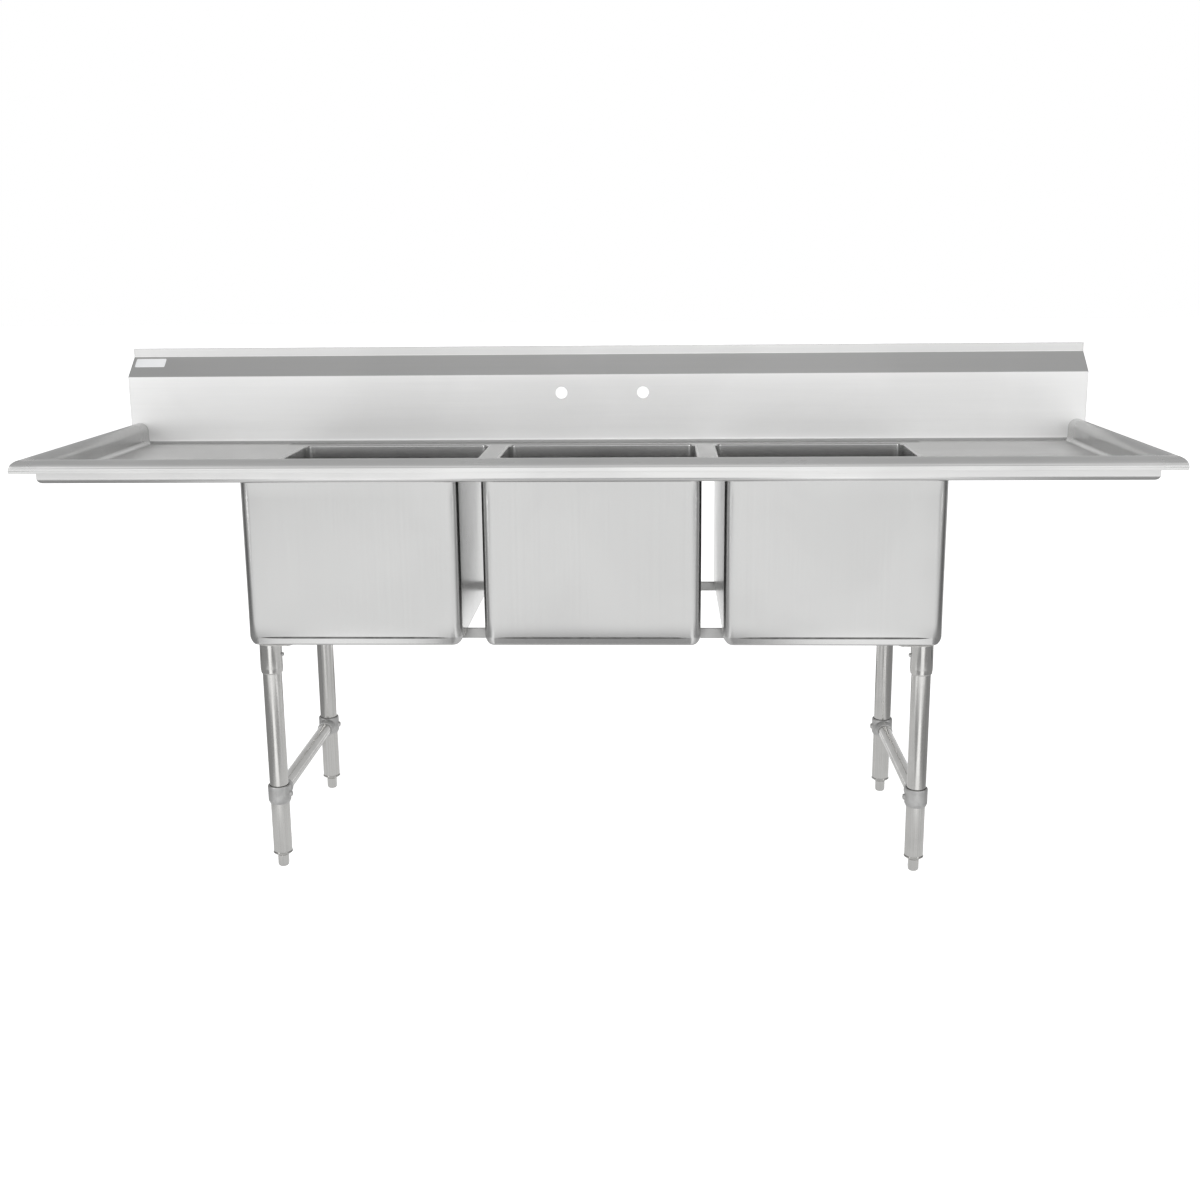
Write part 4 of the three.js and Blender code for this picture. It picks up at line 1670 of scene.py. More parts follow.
@dataclass
class Bowl:
    """One welded bowl: a rolled lip, slightly sprung walls, round corners and a creased floor."""

    shop: Workshop
    side: str
    lip_radius: float = BOWL_LIP
    corner_radius: float = BOWL_CORNER
    cove_radius: float = 0.019
    spring: float = 0.0012
    floor_margin: float = 0.075
    seat_radius: float = 0.060
    hole_radius: float = 0.045
    fall: float = 0.004
    corner_steps: int = CORNER_STEPS
    side_points: int = SIDE_POINTS
    strip_share: float = 0.74
    strip_slope: float = 0.22
    seam_height: float = 0.0022
    seam_stand: float = 0.00045

    def build(self) -> None:
        """Builds the bowl's shell and the dark strips along its seams."""
        outer = self._skin(LAYOUT.sheet)
        inner = self._skin(0.0)
        rings = [*outer, *reversed(inner)]
        shell = Shape().loft(rings, loop=True).into_object(f"bowl_shell_{self.side}", 50)
        nodes = [f"bowl_{self.side}_{part}" for part in ("wrap", "front_panel", "back_panel")]
        self.shop.fit(shell, BOWL_SHEET, nodes)
        self._seam_shadows()

    def _skin(self, out: float) -> list[Ring]:
        """One skin of the shell, from its lip down to the drain hole.

        Args:
            out: How far it stands outside the inner faces.

        Returns:
            The skin's rings.
        """
        low, high = bowl_box(self.side)
        centre = (low + high) / 2
        half_x = (high.x - low.x) / 2 - LAYOUT.sheet
        half_y = (high.y - low.y) / 2 - LAYOUT.sheet
        top = LAYOUT.deck_top
        floor = low.z + LAYOUT.sheet + self.fall
        rings: list[Ring] = []

        def add(inset: float, z: float, bulge: float = 0.0, end_inset: float | None = None) -> None:
            """Adds a ring, sprung outwards between its corners.

            Args:
                inset: How far in from the inner faces it lies.
                z: Its height.
                bulge: The push in the middle of its sides.
                end_inset: How far in it lies at the two ends, if not as far as at the sides.
            """
            across = half_x - inset
            along = half_y - (inset if end_inset is None else end_inset)
            radius = max(self.corner_radius - inset, 0.003)
            ring = rounded_rectangle(across, along, radius, self.corner_steps, self.side_points)
            rings.append([self._sprung(x, y, z, half_x, half_y, bulge, centre) for x, y in ring])

        lip = self.lip_radius
        for i in range(7):
            a = math.radians(15 * i)
            add(-lip + (lip - out) * math.sin(a), top - lip + (lip - out) * math.cos(a))
        wall_top, wall_foot = top - lip, floor + self.cove_radius
        for i in range(1, 10):
            share = i / 10
            add(-out, wall_top + (wall_foot - wall_top) * share, self.spring * math.sin(math.pi * share))
        cove = self.cove_radius + out
        for i in range(16):
            a = math.radians(6 * i)
            drop = cove * math.sin(a)
            fold = self._folded(drop / cove) * cove
            add(-out + cove * (1 - math.cos(a)), wall_foot - drop, 0.0, -out + fold)
        add(self.cove_radius + self.floor_margin, floor - out)
        for radius, drop in ((self.seat_radius, self.fall), (self.hole_radius, self.fall)):
            rings.append(self._circle(radius, floor - drop - out, centre))
        return rings

    def _folded(self, drop: float) -> float:
        """How far the strip under an end panel has turned in, as shares of the cove.

        Args:
            drop: How far down the cove.

        Returns:
            How far in: a nearly flat strip, then a quick turn to the floor.
        """
        strip = self.strip_share
        if drop <= strip:
            return self.strip_slope * drop
        rest = (drop - strip) / (1 - strip)
        start = self.strip_slope * strip
        return start + (1 - start) * (1 - math.sqrt(max(0.0, 1 - rest**2)))

    def _seam_shadows(self) -> None:
        """Runs a thin strip along the seam between each end panel and the strip under it. Its dark
        colour is painted shadow of the groove there.
        """
        low, high = bowl_box(self.side)
        level = low.z + LAYOUT.sheet + self.fall + self.cove_radius
        reach = (high.x - low.x) / 2 - self.corner_radius - 0.008
        middle = (low.x + high.x) / 2
        for face, out, end in ((low.y, -1, "front"), (high.y, 1, "back")):
            rings = []
            for i in range(25):
                share = -1 + 2 * i / 24
                thin = math.sqrt(max(0.02, 1 - share**8))
                ring = []
                for k in range(12):
                    a = math.tau * k / 12
                    up, stand = self.seam_height * math.cos(a), self.seam_stand * thin * math.sin(a)
                    y, z = face + out * (stand - 0.0001), level - 0.001 + up * thin
                    ring.append(Vector((middle + reach * share, y, z)))
                rings.append(ring)
            seam = Shape().loft(rings if out > 0 else [ring[::-1] for ring in rings])
            self.shop.fit(seam.into_object(f"end_seam_shadow_{end}_{self.side}"), SEAM_SHADOW_METAL)

    def _sprung(
        self, x: float, y: float, z: float, half_x: float, half_y: float, bulge: float, centre: Vector
    ) -> Vector:
        """A ring's point, pushed out where its wall is widest from support.

        Args:
            x: The point's place across the bowl.
            y: Its place along the bowl.
            z: Its height.
            half_x: Half the bowl's width.
            half_y: Half its length.
            bulge: The push in the middle of a wall.
            centre: The bowl's centre.

        Returns:
            The point in the sink's frame.
        """
        on_side, on_end = abs(x) / half_x, abs(y) / half_y
        push_x = bulge * max(0.0, 1 - on_end**2) * math.copysign(1, x) if on_side > 0.9 else 0.0
        push_y = bulge * max(0.0, 1 - on_side**2) * math.copysign(1, y) if on_end > 0.9 else 0.0
        return Vector((centre.x + x + push_x, centre.y + y + push_y, z))

    def _circle(self, radius: float, z: float, centre: Vector) -> Ring:
        """A ring round the drain, with its points abreast of the bowl's corners.

        Args:
            radius: The ring's radius.
            z: Its height.
            centre: The bowl's centre.

        Returns:
            The ring.
        """
        quarter = self.corner_steps + 1 + self.side_points
        ring = []
        for i in range(4 * quarter):
            a = math.radians(45 + (i - self.corner_steps / 2) * 90 / quarter)
            ring.append(Vector((centre.x + radius * math.cos(a), centre.y + radius * math.sin(a), z)))
        return ring


# ---- the drains ----


@dataclass
class Drain:
    """One basket strainer under a bowl: flanged cup, gasket, locknut and lift-out basket."""

    shop: Workshop
    side: str
    cup: float = 0.044
    bore: float = 0.0385
    seat: float = 0.0415
    outlet: float = 0.020
    tail: float = 0.024
    place: Matrix = field(init=False)
    flange: float = field(init=False)
    level: float = field(init=False)
    tail_end: float = field(init=False)

    def build(self) -> None:
        """Builds the drain's four pieces."""
        low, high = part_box(f"strainer_body_{self.side}")
        self.place = Matrix.Translation(((low.x + high.x) / 2, (low.y + high.y) / 2, 0))
        self.flange = (high.x - low.x) / 2
        self.level = high.z - 0.0025
        self.tail_end = low.z
        self._body()
        self._gasket()
        self._locknut()
        self._basket()

    def _body(self) -> None:
        """Turns the flanged cup and threads its tail."""
        level, flange = self.level, self.flange
        cup_floor = level - 0.044
        profile = [
            (flange, level + 0.0003),
            (flange - 0.0005, level + 0.0012),
            (flange - 0.003, level + 0.0024),
            (self.seat + 0.005, level + 0.0025),
            *arc((self.seat + 0.003, level - 0.0005), 0.003, 90, 180, 6)[1:],
            (self.seat, level - 0.004),
            (self.bore, level - 0.004),
            (self.bore - 0.001, cup_floor + 0.010),
            (self.bore - 0.003, cup_floor + 0.004),
            (self.bore - 0.008, cup_floor + 0.001),
            (self.outlet, cup_floor),
            (self.outlet, self.tail_end),
            (self.tail - 0.001, self.tail_end),
            (self.tail - 0.001, cup_floor - 0.004),
            (self.cup - 0.010, cup_floor - 0.002),
            (self.cup - 0.003, cup_floor + 0.003),
            (self.cup, cup_floor + 0.010),
            (self.cup, level + 0.0003),
        ]
        body = Shape().turn(profile, self.place, 64).into_object(f"strainer_cup_{self.side}", 40)
        values = {
            "Radius": self.tail - 0.001,
            "Height": 0.016,
            "Turns": 7.0,
            "Ridge": 0.0009,
            "Foot": (self.place.translation.x, self.place.translation.y, self.tail_end + 0.0015),
            "Material": self.shop.paint.material(BRIGHT_STEEL),
        }
        run_tree(body, self.shop.details.thread, values)
        self.shop.fit(body, BRIGHT_STEEL, [f"strainer_body_{self.side}"])

    def _gasket(self) -> None:
        """Turns the rubber washer under the bowl."""
        node = f"drain_gasket_{self.side}"
        low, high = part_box(node)
        outer, inner = (high.x - low.x) / 2, self.cup + 0.0005
        fat = (high.z - low.z) / 2
        edge = arc((outer - fat, low.z + fat), fat, -90, 90, 8)
        profile = [(inner, low.z), *edge, (inner, high.z)]
        ring = Shape().turn(profile, self.place, 64).into_object(f"gasket_ring_{self.side}", 40)
        self.shop.fit(ring, BLACK_RUBBER, [node])

    def _locknut(self) -> None:
        """Makes the ring nut, with lugs for a spud wrench."""
        node = f"drain_locknut_{self.side}"
        low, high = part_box(node)
        inner, outer = self.cup + 0.0005, self.cup + 0.007
        ring = [
            (inner, low.z),
            (outer - 0.001, low.z),
            (outer, low.z + 0.001),
            (outer, high.z - 0.001),
            (outer - 0.001, high.z),
            (inner, high.z),
        ]
        nut = Shape().turn(ring, self.place, 96).into_object(f"locknut_{self.side}")
        lugs = []
        for quarter in range(4):
            spin = self.place @ Matrix.Rotation(math.pi / 2 * quarter, 4, "Z")
            root, tip = inner + 0.002, outer + 0.004
            corners = [(root, -0.005), (tip, -0.004), (tip, 0.004), (root, 0.005)]
            lugs.append(Shape().plate([corners], low.z, high.z - 0.002, spin).into_object("lug"))
        combine(nut, lugs, Cut.TOGETHER)
        round_edges(nut, 0.0005)
        self.shop.fit(nut, CAST_METAL, [node])

    def _basket(self) -> None:
        """Makes the lift-out basket and drills it."""
        node = f"strainer_basket_{self.side}"
        low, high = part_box(node)
        floor, rim = low.z, (high.x - low.x) / 2
        wall, seat = self.bore - 0.0025, self.level - 0.0037
        skin = 0.0012
        profile = [
            (0, floor),
            (wall - 0.005, floor),
            *arc((wall - 0.005, floor + 0.005), 0.005, -90, 0, 6)[1:],
            (wall, seat),
            (rim, seat),
            (rim, seat + 0.0015),
            (wall - skin, seat + 0.0015),
            *arc((wall - 0.005, floor + 0.005), 0.005 - skin, 0, -90, 6),
            (0, floor + skin),
        ]
        basket = Shape().turn(profile, Matrix(), 48).into_object(f"basket_{self.side}", 40)
        values = {
            "Field": wall - 0.008,
            "Hub": 0.006,
            "Hole": 0.0021,
            "Wall": wall,
            "Floor": (0.0, 0.0, floor),
            "Row": (0.0, 0.0, (floor + seat) / 2 + 0.002),
            "Material": self.shop.paint.material(BRIGHT_STEEL),
        }
        run_tree(basket, self.shop.details.holes, values)
        top = high.z
        post = [
            (0, floor + skin * 0.5),
            (0.0035, floor + skin * 0.5),
            (0.0035, top - 0.012),
            (0.0042, top - 0.0095),
            (0.0078, top - 0.0072),
            *arc((0.0060, top - 0.0040), 0.0030, -20, 75, 6),
            (0.003, top - 0.0002),
            (0, top),
        ]
        knob = Shape().turn(post, Matrix(), 32).into_object("knob", 40)
        combine(basket, [knob], Cut.TOGETHER)
        basket.data.transform(self.place)
        smooth(basket, 40)
        self.shop.fit(basket, BRIGHT_STEEL, [node], f"basket_{self.side}")


# ---- legs ----


@dataclass
class Leg:
    """One leg: welded socket with its set screw, tube, foot insert, levelling foot and clamp."""

    shop: Workshop
    end: str
    side: str
    socket_radius: float = 0.02413
    wall: float = 0.0016
    gap: float = 0.0003
    clamp_radius: float = 0.025
    rail_height: float = 0.172
    rail_radius: float = 0.015875
    rail_socket: float = 0.0195
    rail_reach: float = 0.048
    screw_height: float = 0.494
    screw_radius: float = 0.004
    pad_bead: float = 0.0030
    cup_bead: float = 0.0044
    foot_shoulder: float = 0.027
    stem_core: float = 0.0071
    radius: float = field(init=False)
    axis: Vector = field(init=False)
    place: Matrix = field(init=False)
    inwards: Vector = field(init=False)
    along: Vector = field(init=False)

    def build(self) -> None:
        """Builds the leg's pieces, top to bottom."""
        low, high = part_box(f"leg_tube_{self.where}")
        self.radius = (high.x - low.x) / 2
        self.axis = Vector(((low.x + high.x) / 2, (low.y + high.y) / 2, 0))
        self.place = Matrix.Translation(self.axis)
        self.inwards = Vector((1, 0, 0)) if self.side == "left" else Vector((-1, 0, 0))
        self.along = Vector((0, 1, 0)) if self.end == "front" else Vector((0, -1, 0))
        self._socket()
        self._screw()
        self._tube(low.z, high.z)
        self._clamp()
        self._insert()
        self._foot()

    @property
    def where(self) -> str:
        """The leg's place in its nodes' names."""
        return f"{self.end}_{self.side}"

    def _socket(self) -> None:
        """Makes the cup with a drawn-in mouth on its pad, and welds both."""
        node = f"leg_socket_{self.where}"
        low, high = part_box(node)
        outer, inner = self.socket_radius, self.radius + self.gap
        pad_low = high.z - 0.003
        mouth = arc((outer - 0.0036, low.z + 0.0036), 0.0026, -75, 0, 6)
        profile = [
            (0, pad_low + 0.0015),
            (outer, pad_low + 0.0015),
            (outer, low.z + 0.014),
            (outer - 0.0003, low.z + 0.010),
            *reversed(mouth),
            (inner, low.z),
            (inner, pad_low - 0.0045),
            (0, pad_low - 0.0045),
        ]
        cup = Shape().turn(profile, self.place, 64).into_object(f"socket_{self.where}", 40)
        pad_centre = self.axis + self.inwards * 0.020
        edge = rounded_rectangle(0.036, 0.040, 0.012, 6, 4)
        outline = [(pad_centre.x + x, pad_centre.y + y) for x, y in edge]
        pad = Shape().plate([outline], pad_low, high.z, Matrix()).into_object("pad")
        combine(cup, [pad], Cut.TOGETHER)
        round_edges(cup, 0.0005)
        side = axis_place(self.axis + Vector((0, 0, self.screw_height)), self.inwards)
        hole = Shape().turn(rod(self.screw_radius + 0.0004, 0, 0.05), side, 32).into_object("hole")
        combine(cup, [hole], Cut.AWAY)
        smooth(cup, 35)
        self.shop.fit(cup, TUBE_STEEL, [node])
        rise = Vector((0, 0, high.z - 0.0010))
        path = [Vector((x, y, 0)) + rise for x, y in outline]
        self.shop.weld(f"pad_weld_{self.where}", path, True, self.pad_bead)
        ring = arc((self.axis.x, self.axis.y), outer + 0.0006, 0, 360, 48)[:-1]
        path = [Vector((x, y, pad_low - 0.0006)) for x, y in ring]
        self.shop.weld(f"cup_weld_{self.where}", path, True, self.cup_bead)

    def _screw(self) -> None:
        """Makes the set screw, with a hexagon socket in its end."""
        inner, outer = self.radius + self.gap, self.socket_radius + 0.0035
        side = axis_place(self.axis + Vector((0, 0, self.screw_height)), self.inwards)
        radius, edge = self.screw_radius, 0.0004
        shank = [
            (0, inner),
            (radius - edge, inner),
            (radius, inner + 1.5 * edge),
            (radius, outer - 1.5 * edge),
            (radius - edge, outer),
            (0, outer),
        ]
        screw = Shape().turn(shank, side, 32).into_object(f"set_screw_{self.where}")
        key = Shape().turn(rod(0.0023, outer - 0.003, outer + 0.002), side, 6)
        combine(screw, [key.into_object("key")], Cut.AWAY)
        smooth(screw, 30)
        self.shop.fit(screw, CAST_METAL, [f"socket_screw_{self.where}"])

    def _tube(self, low: float, high: float) -> None:
        """Makes the leg's tube.

        Args:
            low: Its lower end.
            high: Its upper end.
        """
        outer, inner, edge = self.radius, self.radius - self.wall, 0.0004
        profile = [(inner, low), (outer - edge, low), (outer, low + edge)]
        profile += [(outer, low + (high - low) * i / 8) for i in range(1, 8)]
        profile += [(outer, high - edge), (outer - edge, high), (inner, high)]
        tube = Shape().turn(profile, self.place, 64).into_object(f"tube_{self.where}")
        self.shop.fit(tube, TUBE_STEEL, [f"leg_tube_{self.where}"])

    def _clamp(self) -> None:
        """Casts the clamp: a collar, a socket for the rail and a screw boss, with soft fillets."""
        node = f"rail_clamp_{self.where}"
        low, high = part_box(node)
        bottom, top, outer = low.z, high.z, self.clamp_radius
        collar = [
            (0, bottom),
            (outer - 0.003, bottom),
            (outer, bottom + 0.007),
            (outer, top - 0.0015),
            (outer - 0.0015, top),
            (0, top),
        ]
        cast = Shape().turn(collar, self.place, 64).into_object(f"clamp_{self.where}")
        centre = self.axis + Vector((0, 0, self.rail_height))
        reach, socket = self.rail_reach, self.rail_socket
        arm = [(0, 0), (socket, 0), (socket, reach - 0.001), (socket - 0.001, reach), (0, reach)]
        lug = Shape().turn(arm, axis_place(centre, self.along), 48).into_object("arm")
        tip = outer + 0.004
        boss = [(0, 0), (0.0065, 0), (0.0065, tip - 0.001), (0.0055, tip), (0, tip)]
        stud = Shape().turn(boss, axis_place(centre, self.inwards), 24).into_object("boss")
        combine(cast, [lug, stud], Cut.TOGETHER)
        skin = cast.modifiers.new("casting", "REMESH")
        skin.mode = "VOXEL"
        skin.voxel_size = 0.0012
        soft = cast.modifiers.new("fillets", "SMOOTH")
        soft.factor = 0.5
        soft.iterations = 2
        settle(cast)
        clear = self.radius + self.gap
        mouth = clear + 0.0017
        through = [
            (0, bottom - 0.005),
            (clear, bottom - 0.005),
            (clear, top - 0.0034),
            (mouth, top - 0.0022),
            (mouth, top + 0.005),
            (0, top + 0.005),
        ]
        leg_bore = Shape().turn(through, self.place, 64).into_object("leg_bore")
        snug = self.rail_radius + self.gap
        across = Shape().turn(rod(snug, 0, reach + 0.005), axis_place(centre, self.along), 48)
        rail_bore = across.into_object("rail_bore")
        hexagon = rod(0.0022, tip - 0.003, tip + 0.003)
        key = Shape().turn(hexagon, axis_place(centre, self.inwards), 6).into_object("clamp_key")
        combine(cast, [leg_bore, rail_bore, key], Cut.AWAY)
        smooth(cast, 50)
        self.shop.fit(cast, CAST_METAL, [node])

    def _insert(self) -> None:
        """Turns the plug in the tube's foot, with its flared collar."""
        node = f"foot_insert_{self.where}"
        low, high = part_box(node)
        plug, bore = self.radius - self.wall - self.gap, 0.0084
        collar = low.z + 0.0107
        profile = [
            (0.0130, low.z),
            (self.radius - 0.003, low.z + 0.0042),
            (self.radius - 0.0008, low.z + 0.0050),
            (self.radius + 0.0011, low.z + 0.0068),
            (self.radius + 0.0011, collar - 0.0026),
            (self.radius + 0.0004, collar - 0.0020),
            (self.radius - 0.0014, collar - 0.0018),
            (self.radius - 0.0014, collar),
            (plug, collar),
            (plug, high.z),
            (bore, high.z),
            (bore, low.z),
        ]
        insert = Shape().turn(profile, self.place, 64).into_object(f"insert_{self.where}", 30)
        self.shop.fit(insert, TUBE_STEEL, [node])

    def _foot(self) -> None:
        """Makes the levelling foot: a hexagon drawn into a round tip, on a threaded stem."""
        node = f"foot_{self.where}"
        low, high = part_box(node)
        flat = (high.x - low.x) / 2
        corner = flat / math.cos(math.pi / 6)
        shoulder, core = self.foot_shoulder, self.stem_core
        tip = [(0.0001, 0.0), (0.0070, 0.0002), (0.0095, 0.0012), (0.0112, 0.0030), (0.0122, 0.0055)]
        past = corner + 0.001
        neck = [(past, 0.0085), (past, shoulder - 0.0012), (corner - 0.0008, shoulder)]
        rings = []
        for reach, z in [*tip, *neck]:
            ring = []
            for i in range(48):
                a = 2 * math.pi * i / 48
                out = min(reach, flat / math.cos((a % (math.pi / 3)) - math.pi / 6))
                turned = a + math.pi / 6
                ring.append(self.axis + Vector((out * math.cos(turned), out * math.sin(turned), z)))
            rings.append(ring)
        foot = Shape().loft(rings).into_object(f"level_foot_{self.where}")
        root = shoulder - 0.002
        shank = [(0, root), (core, root), (core, high.z - 0.001), (core - 0.001, high.z), (0, high.z)]
        combine(foot, [Shape().turn(shank, self.place, 32).into_object("stem")], Cut.TOGETHER)
        smooth(foot, 25)
        values = {
            "Radius": core,
            "Height": high.z - shoulder - 0.004,
            "Turns": 19.0,
            "Ridge": 0.0009,
            "Foot": (self.axis.x, self.axis.y, shoulder + 0.002),
            "Material": self.shop.paint.material(TUBE_STEEL),
        }
        run_tree(foot, self.shop.details.thread, values)
        self.shop.fit(foot, TUBE_STEEL, [node], f"foot_{self.where}")


# ---- rails and tie bars ----


@dataclass
class SideRail:
    """A tube that ties a front leg to the back leg behind it."""

    shop: Workshop
    side: str
    wall: float = 0.0016

    def build(self) -> None:
        """Builds the rail."""
        node = f"side_rail_{self.side}"
        low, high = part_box(node)
        centre = (low + high) / 2
        outer, length, edge = (high.x - low.x) / 2, high.y - low.y, 0.0003
        inner = outer - self.wall
        profile = [
            (inner, 0),
            (outer - edge, 0),
            (outer, edge),
            *[(outer, length * i / 8) for i in range(1, 8)],
            (outer, length - edge),
            (outer - edge, length),
            (inner, length),
        ]
        place = axis_place(Vector((centre.x, low.y, centre.z)), Vector((0, 1, 0)))
        rail = Shape().turn(profile, place, 64).into_object(f"rail_{self.side}")
        self.shop.fit(rail, RAIL_STEEL, [node])


@dataclass
class TieBar:
    """A flat bar between two bowls, with its ends cut to their coves and welded."""

    shop: Workshop
    end: str
    side: str
    cove_radius: float = 0.0205
    gap: float = 0.0003
    half_top: float = 0.0236
    bead: float = 0.0032

    def build(self) -> None:
        """Builds the bar and its two welds."""
        node = f"tie_bar_{self.end}_{self.side}"
        low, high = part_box(node)
        centre = (low + high) / 2
        cove_level = bowl_box("centre")[0].z + Bowl.fall + BOWL_SHEET_GAUGE + Bowl.cove_radius
        half_top = self.half_top
        cove = (half_top + self.gap + self.cove_radius, cove_level)
        reach = self.cove_radius + self.gap
        lowest = math.degrees(math.asin(min(1.0, (cove_level - low.z) / reach)))
        end = [*arc(cove, reach, 180 + lowest, 180, 12), (half_top, high.z)]
        outline = [*end, *[(-x, z) for x, z in reversed(end)]]
        stand = Matrix(((1, 0, 0, centre.x), (0, 0, -1, 0), (0, 1, 0, 0), (0, 0, 0, 1)))
        bar = Shape().plate([outline], -high.y, -low.y, stand).into_object(f"tie_{self.end}_{self.side}")
        round_edges(bar, 0.0006)
        self.shop.fit(bar, BAR_STEEL, [node])
        for sign, hand in ((-1, "a"), (1, "b")):
            path = [Vector((centre.x + sign * (x + 0.0004), low.y - 0.0004, z)) for x, z in end]
            self.shop.weld(f"tie_weld_{self.end}_{self.side}_{hand}", path, False, self.bead)


# ---- studio ----


@dataclass
class Softbox:
    """A rectangular studio light."""

    name: str
    place: tuple[float, float, float]
    aim: tuple[float, float, float]
    width: float
    height: float
    power: float
    mirrored: bool = True

    def build(self) -> None:
        """Hangs the light."""
        lamp = bpy.data.lights.new(self.name, "AREA")
        lamp.shape = "RECTANGLE"
        lamp.size, lamp.size_y, lamp.energy = self.width, self.height, self.power
        holder = bpy.data.objects.new(self.name, lamp)
        holder.location = self.place
        aim = Vector(self.aim) - Vector(self.place)
        holder.rotation_euler = aim.to_track_quat("-Z", "Y").to_euler()
        holder.visible_camera = False
        holder.visible_glossy = self.mirrored
        bpy.context.scene.collection.objects.link(holder)


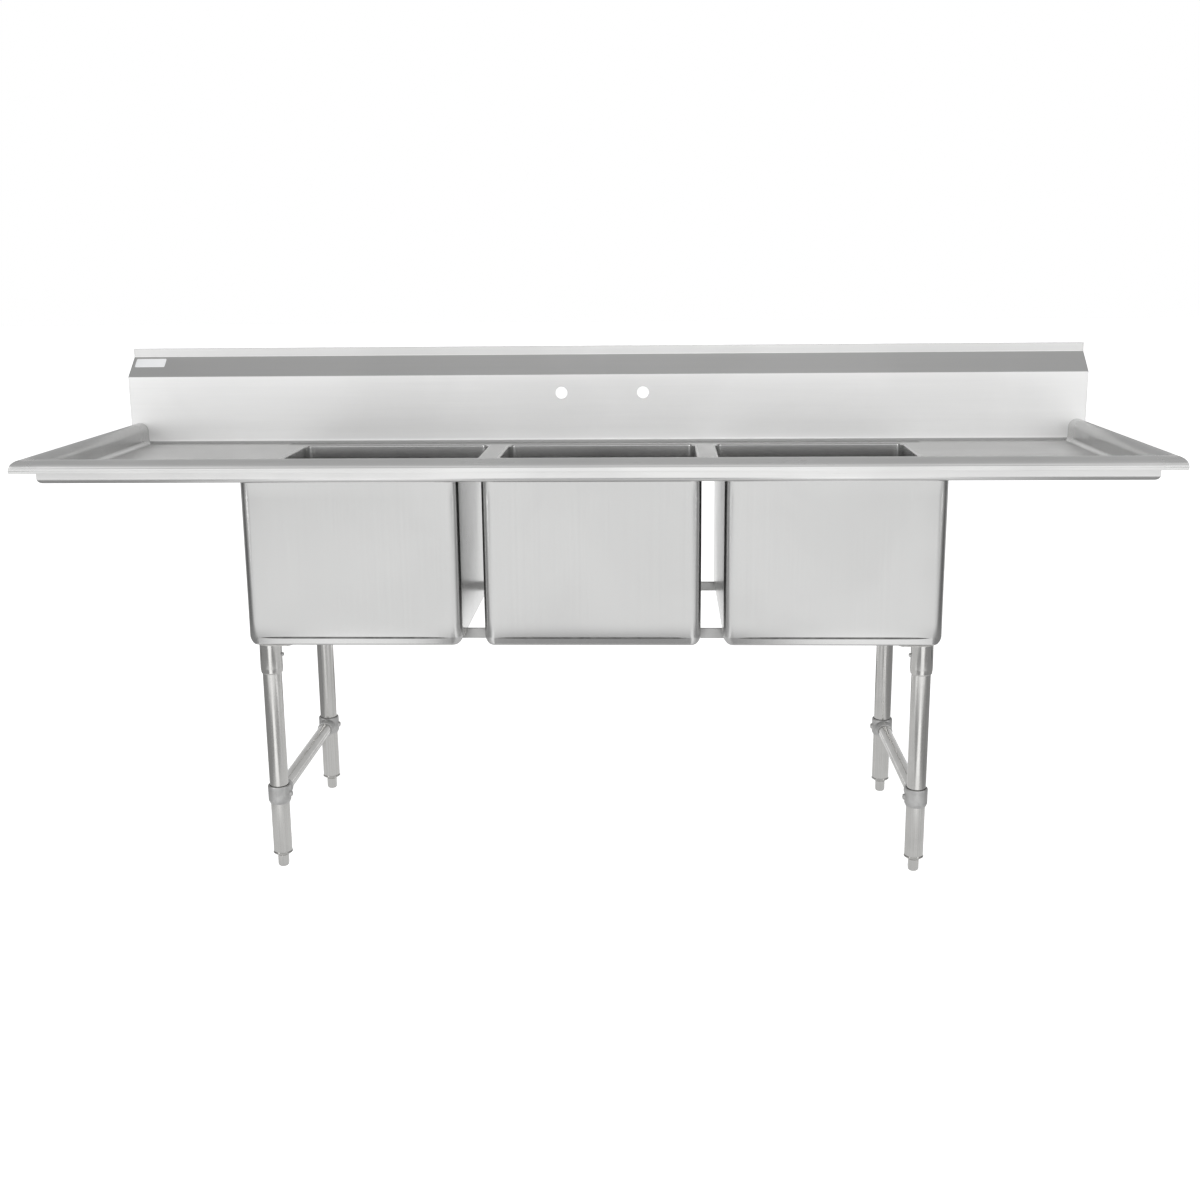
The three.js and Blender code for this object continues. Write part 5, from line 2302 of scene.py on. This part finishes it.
@dataclass
class Studio:
    """A white studio whose surround is dimmer overhead, behind and beside, as steel shows it."""

    camera_place: tuple[float, float, float] = (0.1411, -3.3102, 1.3202)
    pan: float = -2.3767
    tilt: float = 13.0532
    roll: float = 0.5268
    lens: float = 43.65
    front: float = 1.16
    back: float = 0.60
    ceiling: float = 0.48
    sides: float = 0.42
    floor_near: float = 0.70
    floor_band: float = 0.32
    floor_far: float = 1.12
    lane: float = 1.35
    lights: tuple[Softbox, ...] = (
        Softbox("key_light", (-3.7, -2.9, 1.7), (-0.2, 0.0, 0.7), 0.7, 2.8, 30.0),
        Softbox("fill_light", (3.9, -2.8, 1.7), (0.2, 0.0, 0.7), 0.6, 2.6, 22.0),
        Softbox("wall_wash", (0.3, -1.3, 1.9), (0.2, 0.3, 1.0), 0.8, 0.4, 18.0, mirrored=False),
    )

    def build(self) -> None:
        """Builds the floor, the surround, the lights and the camera."""
        self._floor()
        self._surround()
        for light in self.lights:
            light.build()
        self._camera()
        bpy.context.scene.view_settings.view_transform = "Standard"

    def _floor(self) -> None:
        """Lays the floor: white to look at, dimmer in the steel close to the sink and beside it."""
        half = 30.0
        outline = [(-half, -half), (half, -half), (half, half), (-half, half)]
        floor = Shape().plate([outline], -0.02, -0.0002, Matrix()).into_object("studio_floor")
        made, wiring, place = start_material("pale_floor")
        cloud = wiring.noise(place, 0.8)
        white = {
            "Base Color": wiring.mix_colours(cloud, (0.88, 0.88, 0.88, 1.0), (0.92, 0.92, 0.92, 1.0)),
            "Roughness": 0.8,
            "Emission Color": (1.0, 1.0, 1.0, 1.0),
            "Emission Strength": 0.8,
        }
        shown = wiring.add("ShaderNodeBsdfPrincipled", white).outputs["BSDF"]
        parts = wiring.parts(place)
        beside = wiring.math("ABSOLUTE", parts["X"])
        ahead = wiring.math("ABSOLUTE", parts["Y"])
        close = wiring.math(
            "MULTIPLY",
            wiring.between(ahead, 0.75, 0.95, self.floor_near - self.floor_band, 0.0),
            wiring.between(beside, 1.05, 1.25, 1.0, 0.0),
        )
        distant = wiring.between(ahead, 1.2, 1.8, self.floor_band, self.floor_far)
        plain = wiring.math("ADD", close, distant)
        inside = wiring.math(
            "MULTIPLY",
            wiring.between(beside, 0.40, 0.50, 0.0, 1.0),
            wiring.between(beside, 0.92, 1.04, 1.0, 0.0),
        )
        rise = wiring.between(ahead, 0.5, 1.0, self.floor_near, self.lane)
        lane = wiring.math("MULTIPLY", inside, rise)
        lane = wiring.math("MULTIPLY", lane, wiring.between(ahead, 1.5, 1.9, 1.0, 0.0))
        aside = wiring.between(beside, 2.2, 4.0, 1.0, self.sides)
        glow = wiring.math("MULTIPLY", wiring.math("MAXIMUM", plain, lane), aside)
        emission = {"Color": (1.0, 1.0, 1.0, 1.0), "Strength": glow}
        mirrored = wiring.add("ShaderNodeEmission", emission).outputs["Emission"]
        self._by_view(wiring, shown, mirrored, "ShaderNodeOutputMaterial")
        floor.data.materials.append(made)

    @staticmethod
    def _by_view(wiring: Wiring, shown: Any, mirrored: Any, output: str) -> None:
        """Shows one shader directly and lights the sink with the other.

        Args:
            wiring: The tree's wiring.
            shown: The shader that is seen directly.
            mirrored: The shader that the sink sees.
            output: The output node's type.
        """
        mix = wiring.add("ShaderNodeMixShader")
        direct = wiring.add("ShaderNodeLightPath").outputs["Is Camera Ray"]
        for target, value in zip(mix.inputs, (direct, mirrored, shown)):
            wiring.feed(target, value)
        wiring.add(output, {"Surface": mix.outputs[0]})

    def _surround(self) -> None:
        """Sets the surround's light by direction: bright ahead and behind, dim above and beside."""
        world = bpy.data.worlds.new("surround")
        bpy.context.scene.world = world
        world.use_nodes = True
        wiring = Wiring(world.node_tree)
        world.node_tree.nodes.clear()
        way = wiring.parts(wiring.add("ShaderNodeTexCoord").outputs["Generated"])
        level = wiring.between(way["Y"], -0.55, 0.25, self.front, self.back)
        fade = wiring.between(way["Z"], 0.12, 0.75, 1.0, 0.0)
        rise = wiring.math("MULTIPLY", wiring.math("SUBTRACT", level, self.ceiling), fade)
        aside = wiring.math("ABSOLUTE", way["X"])
        dim = wiring.between(aside, 0.45, 0.9, 1.0, self.sides)
        strength = wiring.math("MULTIPLY", wiring.math("ADD", rise, self.ceiling), dim)
        plain = {"Color": (1.0, 1.0, 1.0, 1.0)}
        shown = wiring.add("ShaderNodeBackground", {**plain, "Strength": 1.0}).outputs["Background"]
        lit = wiring.add("ShaderNodeBackground", {**plain, "Strength": strength}).outputs["Background"]
        self._by_view(wiring, shown, lit, "ShaderNodeOutputWorld")

    def _camera(self) -> None:
        """Stands the camera in front of the sink, a little to its right and above it."""
        data = bpy.data.cameras.new("camera")
        data.lens = self.lens
        data.sensor_width = 36.0
        camera = bpy.data.objects.new("camera", data)
        pan, tilt, roll = (math.radians(a) for a in (self.pan, self.tilt, self.roll))
        ahead = Vector((math.sin(pan) * math.cos(tilt), math.cos(pan) * math.cos(tilt), -math.sin(tilt)))
        level = Vector((math.cos(pan), -math.sin(pan), 0))
        down = ahead.cross(level)
        right = level * math.cos(roll) + down * math.sin(roll)
        turned_down = down * math.cos(roll) - level * math.sin(roll)
        axes = Matrix((right, -turned_down, -ahead)).transposed().to_4x4()
        camera.matrix_world = Matrix.Translation(self.camera_place) @ axes
        bpy.context.scene.collection.objects.link(camera)
        bpy.context.scene.camera = camera


# ---- the whole sink ----


def main() -> None:
    """Builds the studio and every sub-assembly, and notes the sizes."""
    logging.basicConfig(level=logging.INFO, format="%(name)s: %(message)s")
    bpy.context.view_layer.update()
    Studio().build()
    shop = Workshop()
    jobs: list[Any] = [Deck(shop), Backsplash(shop)]
    jobs += [Bowl(shop, side) for side in BOWLS]
    jobs += [Drain(shop, side) for side in BOWLS]
    jobs += [TieBar(shop, end, side) for end in ("front", "back") for side in ("left", "right")]
    jobs += [Leg(shop, end, side) for end in ("front", "back") for side in ("left", "right")]
    jobs += [SideRail(shop, side) for side in ("left", "right")]
    for job in jobs:
        job.build()
    log.info("%d pieces", shop.count)


if __name__ == "__main__":
    main()
